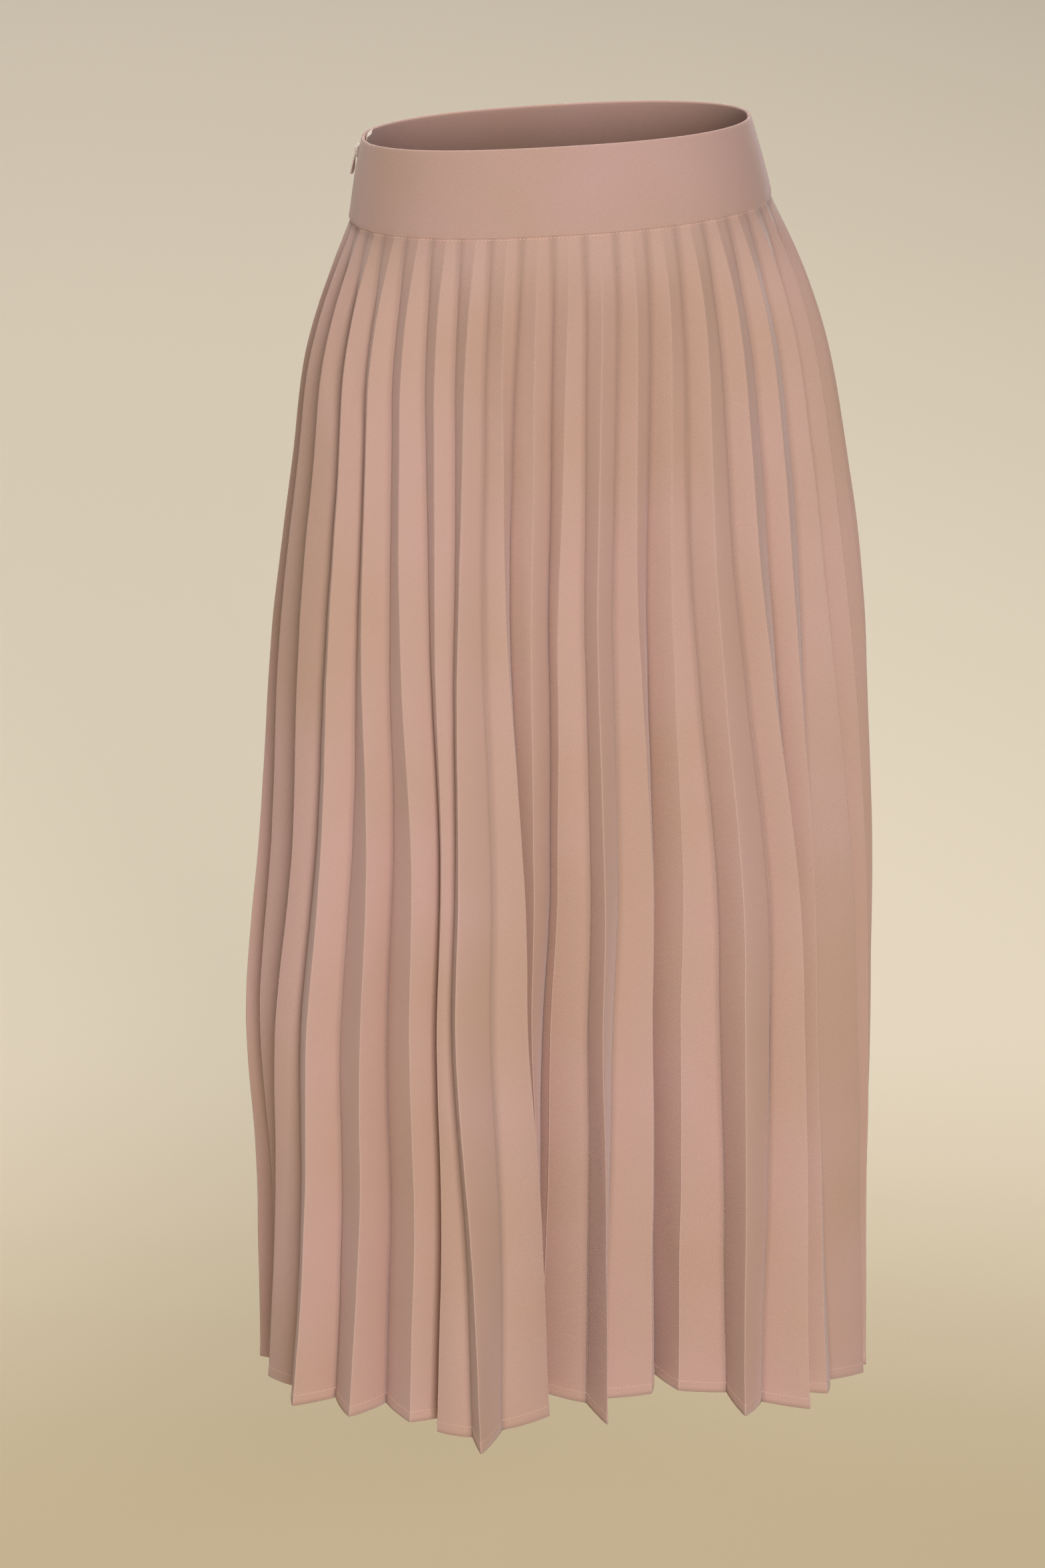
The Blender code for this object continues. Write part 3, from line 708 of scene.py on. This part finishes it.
def crepe(name, pink, tan, crease_highlight=None):
    """Polyester crepe twill in two dye tones; a highlight tone adds painted crease highlight and valley
    shade.
    """
    made, tree, shader = start_material(name, CREPE_FINISH)
    laid = node(tree, "ShaderNodeUVMap", {"uv_map": "weave"})
    in_mm = node(tree, "ShaderNodeMapping",
                 {"Scale": (1.0 / MM, 1.0 / MM, 1.0), "Rotation": (0, 0, RIB_LEAN)},
                 {"Vector": laid.outputs["UV"]})
    along = {"Vector": in_mm.outputs["Vector"]}
    rib = node(tree, "ShaderNodeTexWave", {"Scale": WAVE_PERIODS / RIB_WIDTH, "Distortion": 1.6,
                                           "Detail": 2.0, "Detail Scale": 1.5}, along)
    grain = node(tree, "ShaderNodeTexNoise",
                 {"Scale": 1.0 / GRAIN_SIZE, "Detail": 3.0, "Roughness": 0.6}, along)
    own = node(tree, "ShaderNodeTexCoord")
    cloud = node(tree, "ShaderNodeTexNoise", {"Scale": 1.0 / (CLOUD_SIZE * MM), "Detail": 2.0},
                 {"Vector": own.outputs["Object"]})
    spread = node(tree, "ShaderNodeMapRange", {"From Min": CLOUD_LOW, "From Max": CLOUD_HIGH},
                  {"Value": cloud.outputs["Fac"]})
    dyed = node(tree, "ShaderNodeMix", {"data_type": "RGBA", 6: hex_colour(tan), 7: hex_colour(pink)},
                {0: spread.outputs["Result"]})
    height = node(tree, "ShaderNodeMath", {"operation": "MULTIPLY_ADD", 1: RIB_SHARE},
                  {0: rib.outputs["Fac"], 2: grain.outputs["Fac"]})
    fleck = node(tree, "ShaderNodeMapRange", {"From Min": WEAVE_LOW, "From Max": WEAVE_HIGH,
                                              "To Min": FLECK_DARK, "To Max": FLECK_PALE},
                 {"Value": height.outputs["Value"]})
    colour = node(tree, "ShaderNodeMix", DARKEN, {6: dyed.outputs[2], 7: fleck.outputs["Result"]})
    if crease_highlight:
        # Painted highlight: beside each crease the colour is mixed towards a paler tone, more so down
        # the skirt.
        beside = node(tree, "ShaderNodeAttribute", {"attribute_name": "crease_distance"})
        pressed = node(tree, "ShaderNodeMapRange",
                       {"From Min": CREASE_NEAR, "From Max": CREASE_FAR, "To Min": CREASE_HIGHLIGHT_SHARE,
                        "To Max": 0.0, "interpolation_type": "SMOOTHSTEP"},
                       {"Value": beside.outputs["Fac"]})
        down = node(tree, "ShaderNodeSeparateXYZ", {}, {"Vector": laid.outputs["UV"]})
        highlight_growth = node(tree, "ShaderNodeMapRange",
                        {"From Min": -FADE_START * MM, "From Max": -FADE_END * MM},
                        {"Value": down.outputs["Y"]})
        share = node(tree, "ShaderNodeMath", {"operation": "MULTIPLY"},
                     {0: pressed.outputs["Result"], 1: highlight_growth.outputs["Result"]})
        # Painted shade: the colour is darkened within a few millimetres of each valley.
        inside = node(tree, "ShaderNodeAttribute", {"attribute_name": "valley_distance"})
        painted_valley_shade = node(tree, "ShaderNodeMapRange",
                     {"From Min": VALLEY_NEAR, "From Max": VALLEY_REACH, "To Min": VALLEY_PAINTED_SHADE,
                      "To Max": 1.0, "interpolation_type": "SMOOTHSTEP"},
                     {"Value": inside.outputs["Fac"]})
        colour = node(tree, "ShaderNodeMix", {"data_type": "RGBA", 7: hex_colour(crease_highlight)},
                      {0: share.outputs["Value"], 6: colour.outputs[2]})
        colour = node(tree, "ShaderNodeMix", DARKEN, {6: colour.outputs[2], 7: painted_valley_shade.outputs["Result"]})
        height = node(tree, "ShaderNodeMath", {"operation": "MULTIPLY_ADD", 1: PINCH_HIGH},
                      {0: share.outputs["Value"], 2: height.outputs["Value"]})
    bump = node(tree, "ShaderNodeBump", {"Strength": 1.0, "Distance": WEAVE_HIGH_MM * MM},
                {"Height": height.outputs["Value"]})
    tree.links.new(colour.outputs[2], shader.inputs["Base Color"])
    tree.links.new(bump.outputs["Normal"], shader.inputs["Normal"])
    return made


# The third tone is the painted crease highlight.
PINK, TAN, CREASE_HIGHLIGHT_TONE = "#cba699", "#c5a18d", "#e2c4b4"
BAND_PINK, BAND_TAN = "#c5a094", "#bf9c89"
pleated_crepe = crepe("polyester_crepe_pleated", PINK, TAN, CREASE_HIGHLIGHT_TONE)
for cloth, node_name in ((front_cloth, "skirt_front"), (back_cloth, "skirt_back")):
    cloth.data.materials.append(pleated_crepe)
    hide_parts(node_name)
print("crepe nodes:", len(pleated_crepe.node_tree.nodes))

# %% [markdown]
# ## Waistband
#
# The band is a strip of the same crepe, interfaced and folded double, so it stands smooth above the
# pleats. Its outer face is a grid bent round the waist, a Solidify modifier gives the doubled cloth, and
# a bevel rounds the fold along its top. Next to the seam it puckers a little with each pleat. The two
# halves meet at the left side seam and leave a slit for the zip at the right one.

# %% Band shape
BAND_TOP_Z, BAND_TOP_TILT = 26.0, 0.175
BAND_TOP_OVAL = (116.5, 95.0, -2.0)
BAND_HIGH = BAND_TOP_Z - SEAM_Z
BAND_COLUMNS, BAND_ROWS = 132, 16
BAND_THICK, BAND_ROUND, BAND_OVER = 2.2, 0.9, 0.9
BAND_BELLY, BAND_SWAY = 0.5, 0.35
PUCKER, PUCKER_POWER = 0.16, 8
BAND_FOLD_ANGLE = math.radians(50.0)


def band_oval(part):
    """The outer oval of the band, from its top edge (0) to the seam (1)."""
    return Oval(*[top + (seam - top) * part for top, seam in zip(BAND_TOP_OVAL, SECTIONS[0][1:])])


def band_height(part, x, y):
    """The height of a point of the band, from its top edge (0) to the seam (1)."""
    tilt = BAND_TOP_TILT + (SEAM_TILT - BAND_TOP_TILT) * part
    return BAND_TOP_Z - BAND_HIGH * part - tilt * y + SLOPE_ACROSS * x


def band_row(part, start, end, slits):
    """One level row of the band's outer face. The slits say at which of its ends the zip lies."""
    oval = band_oval(min(part, 1.0))
    margin = SEAM_GAP / 2 / oval.length
    fractions = np.linspace(start + margin * slits[0], end - margin * slits[1], BAND_COLUMNS + 1)
    belly = BAND_BELLY * math.sin(math.pi * min(part, 1.0))
    pleat = (fractions - even_fraction(0.0)) * PLEATS
    pucker = PUCKER * part ** PUCKER_POWER * np.cos(2.0 * math.pi * pleat)
    base = oval.plan(fractions)
    plan = oval.point(fractions, belly + pucker)
    return np.column_stack([plan, band_height(part, base[:, 0], base[:, 1])]), fractions * oval.length


def make_band(name, start, end, slits):
    """Half of the waistband, from one side seam to the other."""
    parts = np.linspace(0.0, 1.0 + BAND_OVER / BAND_HIGH, BAND_ROWS + 1)
    rows = [band_row(part, start, end, slits) for part in parts]
    mesh = bmesh.new()
    uv = mesh.loops.layers.uv.new("weave")
    laid = []
    for vertex, (column, down) in zip(mesh.verts, lay_grid(mesh, BAND_COLUMNS, BAND_ROWS)):
        places, along = rows[down]
        point = Vector(places[column])
        vertex.co = (point + sway(point) * BAND_SWAY) * MM
        laid.append((along[column] * MM, -parts[down] * BAND_HIGH * MM))
    for quad in mesh.faces:
        for corner in quad.loops:
            corner[uv].uv = laid[corner.vert.index]
    area = sum(quad.calc_area() for quad in mesh.faces)
    band = add_piece(name, mesh)
    wall = band.modifiers.new("doubled_cloth", "SOLIDIFY")
    wall.thickness = BAND_THICK * MM
    wall.offset = -1.0
    fold = band.modifiers.new("rounded_folds", "BEVEL")
    fold.width = BAND_ROUND * MM
    fold.segments = 3
    fold.limit_method = "ANGLE"
    fold.angle_limit = BAND_FOLD_ANGLE
    print(name, "area, m2:", round(area, 4))
    return band, area


ZIP_SIDE, FAR_SIDE = even_fraction(FIRST_FRONT - 0.5), even_fraction(LAST_FRONT + 0.5)
band_front, band_front_area = make_band("waistband_front_cloth", ZIP_SIDE, FAR_SIDE, (1, 0))
band_back, band_back_area = make_band("waistband_back_cloth", FAR_SIDE, ZIP_SIDE + 1.0, (0, 1))
band_crepe = crepe("polyester_crepe_interfaced", BAND_PINK, BAND_TAN)
for band, node_name in ((band_front, "waistband_front"), (band_back, "waistband_back")):
    band.data.materials.append(band_crepe)
    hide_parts(node_name)

# %% [markdown]
# ## Stitches
#
# One row of machine stitches runs just under the band, and another holds the turned hem. A stitch is a
# short fat lens of thread, so each is a small sphere drawn out along the row. The rows are stitched
# before the cloth is pressed and bend with it, so each face of a pleat is stitched by itself. Spun
# polyester thread is a little smoother than crepe, and its plies catch the light as paler flecks.

# %% Sew a row
SEAM_STITCH_DROP, HEM_STITCH_DROP = 2.1, SKIRT_LENGTH - HEM_TURN
STITCH_PITCH, STITCH_SIZE = 2.1, (1.6, 0.55, 0.40)
STITCH_SIDES, STITCH_RINGS = 6, 4
HEM_LIFT, PLY_SIZE = 0.15, 0.6


def add_stitch(mesh, place, along, out, size):
    """One stitch of a size along, across and out of the cloth, in millimetres."""
    across = out.cross(along).normalized()
    turn = Matrix((along, across, along.cross(across))).transposed().to_4x4()
    scale = Matrix.Diagonal((size[0] / 2 * MM, size[1] / 2 * MM, size[2] / 2 * MM, 1.0))
    bmesh.ops.create_uvsphere(mesh, u_segments=STITCH_SIDES, v_segments=STITCH_RINGS, radius=1.0,
                              matrix=Matrix.Translation(place * MM) @ turn @ scale)


def stitch_line(whole, points, pitch, out, lift, size):
    """Add evenly spaced stitches along a line of points, and say how many.

    They start in a small mesh of their own, because operators are slow on a large one.
    """
    mesh = bmesh.new()
    run = np.cumsum([0.0] + [(b - a).length for a, b in zip(points, points[1:])])
    number = max(int(run[-1] / pitch), 1)
    for k in range(number):
        at = run[-1] * (k + 0.5) / number
        part = min(int(np.searchsorted(run, at)), len(points) - 1) - 1
        along = (points[part + 1] - points[part]).normalized()
        add_stitch(mesh, points[part] + along * (at - run[part]) + out * lift, along, out, size)
    data = bpy.data.meshes.new("stitch_line")
    mesh.to_mesh(data)
    mesh.free()
    whole.from_mesh(data)
    bpy.data.meshes.remove(data)
    return number


def sew_row(name, first, last, drop, lift):
    """A row of stitches round a panel at one drop, evenly spaced on each face of a pleat."""
    row = shaped_row(first, last, drop)
    whole = bmesh.new()
    per_face = len(FACE_STEPS)
    count = 0
    for start in range(0, len(row["step"]) - 1, per_face):
        points = row["place"][start:start + per_face + 1]
        count += stitch_line(whole, points, STITCH_PITCH, Vector(row["out"][start]), lift, STITCH_SIZE)
    print(name, "stitches:", count)
    return add_piece(name, whole)


thread = mottled("spun_polyester_thread", {"Roughness": 0.6, "Sheen Weight": 0.3}, PLY_SIZE, 2.0,
                 "#d9ae95", "#f0cfb8")
stitches = {}
for side, first, last in (("front", FIRST_FRONT, LAST_FRONT), ("back", FIRST_BACK, LAST_BACK)):
    seam_row = sew_row("seam_stitches_" + side, first, last, SEAM_STITCH_DROP, CREPE_THICK / 2)
    hem_row = sew_row("hem_stitches_" + side, first, last, HEM_STITCH_DROP, CREPE_THICK / 2 + HEM_LIFT)
    stitches[side] = [seam_row, hem_row]
    for row_of_stitches in stitches[side]:
        row_of_stitches.data.materials.append(thread)

# %% [markdown]
# ## The zip
#
# A concealed zip is sewn inside the side seam: two narrow knitted tapes, each with a coil of teeth along
# its edge. Only the ends of the tapes, the slider and the pull tab come out at the top of the band. The
# tapes follow the inside of the band, and lie flat behind the side seam's valley below it. The tapes are
# knitted of polyester, matt and finely ribbed across. The coil is moulded nylon, smooth and a bit waxy.

# %% Where the tapes run
TAPE_WIDTH, TAPE_THICK, TAPE_COLUMNS = 11.0, 0.5, 5
TAPE_IN_FRAME, BAND_IN_FRAME = 0.8, 2.4
TAPE_OVER, TAPE_CURL = 2.6, 2.6
TAPE_BAND_LEVELS = (-TAPE_OVER / BAND_HIGH, 0.0, 0.25, 0.5, 0.75, 0.9)
TAPE_DROPS = (0.0, 22.0, 56.0, 96.0, 141.0)


def side_valley(drop):
    """The side seam's own valley: its place in plan, which way is out, and its height."""
    oval = mean_oval(drop)
    fraction, stand = fold_place(FIRST_FRONT - 0.5, drop)
    edge = oval.point(fraction, (fold_depth(drop) + CLOTH_IN_FRAME) / 2)
    return oval.point(fraction, stand), oval.outward(fraction), level_height(drop, edge[0], edge[1])


def tape_in_band(part, reaches):
    """A level line of a tape along the inner face of the band. Above it, the cut end curls inwards."""
    oval = band_oval(part)
    fractions = ZIP_SIDE + reaches / oval.length
    edge = oval.plan(fractions)
    depth = BAND_IN_FRAME + SEAM_GAP + TAPE_IN_FRAME / 2
    depth += TAPE_CURL * max(-part, 0.0) * BAND_HIGH / TAPE_OVER
    inside = oval.point(fractions, np.full(len(reaches), -depth))
    return np.column_stack([inside, band_height(part, edge[:, 0], edge[:, 1])])


def tape_below(drop, reaches):
    """A level line of a tape, flat behind the side seam's valley."""
    place, out, height = side_valley(drop)
    middle = place - out * ((CLOTH_IN_FRAME + TAPE_IN_FRAME) / 2 + SEAM_GAP)
    along = np.array([-out[1], out[0]])
    return np.array([(*(middle + along * reach), height) for reach in reaches])


def tape_rows(reaches):
    """All the level lines of a tape, from above the band down to the zip's foot."""
    lean = tape_below(0.0, reaches) - tape_in_band(1.0, reaches)
    lean[:, 2] = 0.0
    rows = [tape_in_band(part, reaches) + lean * max(part, 0.0) ** 2 for part in TAPE_BAND_LEVELS]
    return rows + [tape_below(drop, reaches) for drop in TAPE_DROPS]


print("tape levels:", len(tape_rows(np.zeros(1))))

# %% Tapes and coils
COIL_PITCH, COIL_SIZE = 1.1, (0.55, 1.5, 0.9)
ZIP_OUT = Vector((-1.0, 0.0, 0.0))
KNIT_PITCH, KNIT_HIGH = 0.7, 0.1


def make_tape(name, side):
    """One zip tape, a thin strip of knitted cloth."""
    reaches = np.linspace(SEAM_GAP / 2, TAPE_WIDTH, TAPE_COLUMNS)
    reaches = reaches if side > 0 else -reaches[::-1]
    rows = tape_rows(reaches)
    mesh = bmesh.new()
    for vertex, (column, down) in zip(mesh.verts, lay_grid(mesh, TAPE_COLUMNS - 1, len(rows) - 1)):
        vertex.co = Vector(rows[down][column]) * MM
    area = sum(quad.calc_area() for quad in mesh.faces)
    tape = add_piece(name, mesh)
    wall = tape.modifiers.new("knit", "SOLIDIFY")
    wall.thickness = TAPE_THICK * MM
    wall.offset = 0.0
    return tape, area


def make_coil(name, side):
    """A row of coil teeth along one tape's inner edge."""
    rows = tape_rows(np.array([side * COIL_SIZE[1] / 2, side * TAPE_WIDTH]))
    line = [Vector(row[0]) for row in rows[1:]]
    whole = bmesh.new()
    behind = (TAPE_THICK + COIL_SIZE[2]) / 2
    for upper, lower in zip(line, line[1:]):
        along = (lower - upper).normalized()
        out = (ZIP_OUT - along * ZIP_OUT.dot(along)).normalized()
        stitch_line(whole, (upper, lower), COIL_PITCH, out, -behind, COIL_SIZE)
    return add_piece(name, whole)


knit, knit_tree, knit_shader = start_material("knitted_polyester_tape", {"Roughness": 0.8})
knit_place = node(knit_tree, "ShaderNodeTexCoord")
knit_rows = node(knit_tree, "ShaderNodeTexWave", {"bands_direction": "Z", "Distortion": 0.4,
                                                  "Scale": WAVE_PERIODS / (KNIT_PITCH * MM)},
                 {"Vector": knit_place.outputs["Object"]})
knit_bump = node(knit_tree, "ShaderNodeBump", {"Strength": 0.5, "Distance": KNIT_HIGH * MM},
                 {"Height": knit_rows.outputs["Fac"]})
two_tones(knit_tree, knit_shader, knit_rows.outputs["Fac"], "#d8c2b4", "#eadbd0")
knit_tree.links.new(knit_bump.outputs["Normal"], knit_shader.inputs["Normal"])
coil_nylon = start_material("moulded_nylon_coil",
                            {"Base Color": hex_colour("#d3b3a3"), "Roughness": 0.4})[0]

for side_name, side in (("front", 1.0), ("back", -1.0)):
    tape, tape_area = make_tape("zip_tape_" + side_name + "_knit", side)
    tape.data.materials.append(knit)
    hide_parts("zip_tape_" + side_name)
    coil = make_coil("zip_coil_" + side_name, side)
    coil.data.materials.append(coil_nylon)
    print("zip_tape_" + side_name, "area, m2:", round(tape_area, 5))

# %% [markdown]
# ## Slider and pull tab
#
# The slider is a small zinc casting in enamel dyed to match the cloth. It has a flat body, and an arched
# bridge that the pull tab hangs from. The tab is a teardrop plate with an eye, and turns on the bridge,
# so both are built round that pin: x along it, y down the band and z out of it. Baked enamel is smooth
# and half glossy over the cast zinc, and wear makes its tone a little uneven.

# %% The pin's own axes
SLIDER_DROP = 9.0
SLIDER_LENGTH, SLIDER_WIDTH, SLIDER_THICK = 7.6, 4.4, 1.2
SLIDER_ABOVE_PIN = 0.4 * SLIDER_LENGTH
ARCH_HIGH, ARCH_BAR, ARCH_WIDTH = 1.5, 0.7, 1.4
ARCH_SUNK, ARCH_CLEAR = 0.1, 0.2
PIN_REACH = 0.1
PIN_HEIGHT = SEAM_GAP + SLIDER_THICK + ARCH_HIGH / 2


def pin_axes():
    """The matrix that carries a shape from the pin's own axes to its place on the band."""
    part = SLIDER_DROP / BAND_HIGH
    ends = []
    for level in (part - PIN_REACH, part + PIN_REACH):
        plan = band_oval(level).plan(ZIP_SIDE)
        ends.append(Vector((*plan, band_height(level, *plan))))
    upper, lower = ends
    down = (lower - upper).normalized()
    flat_out = band_oval(part).outward(ZIP_SIDE)
    along = Vector((flat_out[1], -flat_out[0], 0.0)).normalized()
    out = along.cross(down).normalized()
    place = (upper + lower) / 2 + out * PIN_HEIGHT
    return Matrix.Translation(place * MM) @ Matrix((along, down, out)).transposed().to_4x4()


PIN = pin_axes()

# %% Slider
CAST_ROUND, ARCH_STEPS = 0.3, 10


def add_arch(mesh, foot, radius):
    """Add the bridge: a small square bar swept half round the pin, with its feet in the body."""
    corners = bmesh.ops.create_grid(mesh, x_segments=1, y_segments=1, size=0.5)["verts"]
    bmesh.ops.scale(mesh, vec=(ARCH_WIDTH * MM, ARCH_BAR * MM, 1.0), verts=corners)
    bmesh.ops.translate(mesh, vec=(0.0, radius * MM, foot * MM), verts=corners)
    bar = list({face for corner in corners for face in corner.link_faces})
    edges = list({edge for face in bar for edge in face.edges})
    bmesh.ops.spin(mesh, geom=bar + edges + corners, cent=(0.0, 0.0, foot * MM), axis=(1.0, 0.0, 0.0),
                   angle=math.pi, steps=ARCH_STEPS, use_merge=False, use_duplicate=False)


def make_slider():
    """The slider's cast body, a box with rounded edges, and its bridge, in one piece."""
    base = -PIN_HEIGHT + SEAM_GAP
    middle = Vector((0.0, SLIDER_LENGTH / 2 - SLIDER_ABOVE_PIN, base + SLIDER_THICK / 2))
    mesh = bmesh.new()
    bmesh.ops.create_cube(mesh, size=MM)
    bmesh.ops.scale(mesh, vec=(SLIDER_WIDTH, SLIDER_LENGTH, SLIDER_THICK), verts=mesh.verts)
    bmesh.ops.translate(mesh, vec=middle * MM, verts=mesh.verts)
    bmesh.ops.bevel(mesh, geom=mesh.edges, offset=CAST_ROUND * MM, segments=3, profile=0.5,
                    affect="EDGES", material=-1)
    add_arch(mesh, base + SLIDER_THICK - ARCH_SUNK, (ARCH_HIGH + ARCH_BAR) / 2 + ARCH_CLEAR)
    bmesh.ops.recalc_face_normals(mesh, faces=mesh.faces)
    bmesh.ops.transform(mesh, matrix=PIN, verts=mesh.verts)
    return add_piece("zip_slider_cast", mesh)


slider = make_slider()
print("slider faces:", len(slider.data.polygons))

# %% Pull tab
TAB_LENGTH, TAB_TOP_WIDTH, TAB_WIDTH, TAB_THICK = 16.0, 3.6, 6.4, 0.8
TAB_EYE_WIDTH, TAB_EYE_START, TAB_EYE_END = 2.0, 0.45, 2.5
TAB_ARC_STEPS = 18
TAB_ROUND, TAB_RIM_ANGLE = 0.25, math.radians(60.0)
TAB_TURN, TAB_TURN_REACH = math.radians(20.0), 6.0
ENAMEL_WEAR = 2.5


def tab_outline():
    """The teardrop outline of the tab: narrow at the pin, round and wide at its foot."""
    top, foot = TAB_TOP_WIDTH / 2, TAB_WIDTH / 2
    points = [(-top, -TAB_EYE_START), (-top, TAB_EYE_END)]
    for step in range(TAB_ARC_STEPS + 1):
        angle = math.pi * step / TAB_ARC_STEPS
        points.append((-foot * math.cos(angle), TAB_LENGTH - foot + foot * math.sin(angle)))
    return points + [(top, TAB_EYE_END), (top, -TAB_EYE_START)]


def eye_outline():
    """The tab's square eye, which the bridge passes through."""
    half = TAB_EYE_WIDTH / 2
    return [(-half, TAB_EYE_START), (-half, TAB_EYE_END), (half, TAB_EYE_END), (half, TAB_EYE_START)]


def make_tab():
    """The tab: a plate between its outline and its eye, thick, rounded, and turned a little forwards."""
    mesh = bmesh.new()
    edges = []
    for outline in (tab_outline(), eye_outline()):
        corners = [mesh.verts.new((x * MM, y * MM, -TAB_THICK / 2 * MM)) for x, y in outline]
        edges += [mesh.edges.new(pair) for pair in zip(corners, corners[1:] + corners[:1])]
    bmesh.ops.triangle_fill(mesh, edges=edges, use_beauty=True)
    plate = list(mesh.faces)
    raised = bmesh.ops.extrude_face_region(mesh, geom=plate)["geom"]
    bmesh.ops.translate(mesh, vec=(0.0, 0.0, TAB_THICK * MM),
                        verts=[item for item in raised if isinstance(item, bmesh.types.BMVert)])
    bmesh.ops.recalc_face_normals(mesh, faces=mesh.faces)
    rims = [edge for edge in mesh.edges if edge.calc_face_angle(0.0) > TAB_RIM_ANGLE]
    bmesh.ops.bevel(mesh, geom=rims, offset=TAB_ROUND * MM, segments=2, profile=0.5, affect="EDGES",
                    material=-1, clamp_overlap=True)
    for corner in mesh.verts:
        share = min(max((corner.co.y / MM - TAB_EYE_END) / TAB_TURN_REACH, 0.0), 1.0)
        corner.co = Matrix.Rotation(TAB_TURN * share, 3, "Y") @ corner.co
    bmesh.ops.transform(mesh, matrix=PIN, verts=mesh.verts)
    return add_piece("zip_pull_cast", mesh, "pull_tab")


tab = make_tab()
enamel = mottled("dyed_enamel_on_zinc", {"Roughness": 0.32, "Coat Weight": 0.25}, ENAMEL_WEAR, 3.0,
                 "#dac3b5", "#efe1d8")
for casting, node_name in ((slider, "zip_slider"), (tab, "zip_pull")):
    casting.data.materials.append(enamel)
    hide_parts(node_name)
print("tab faces:", len(tab.data.polygons))

# %% [markdown]
# ## The sheets of cloth
#
# Six sheets of cloth make the skirt: two pleated panels, the two halves of the band and the two zip
# tapes.

# %% Sheets
print("sheets of cloth: 6")

# %% [markdown]
# ## Colour
#
# The standard view shows colours as they were mixed.

# %% Finish
bpy.context.scene.view_settings.view_transform = "Standard"
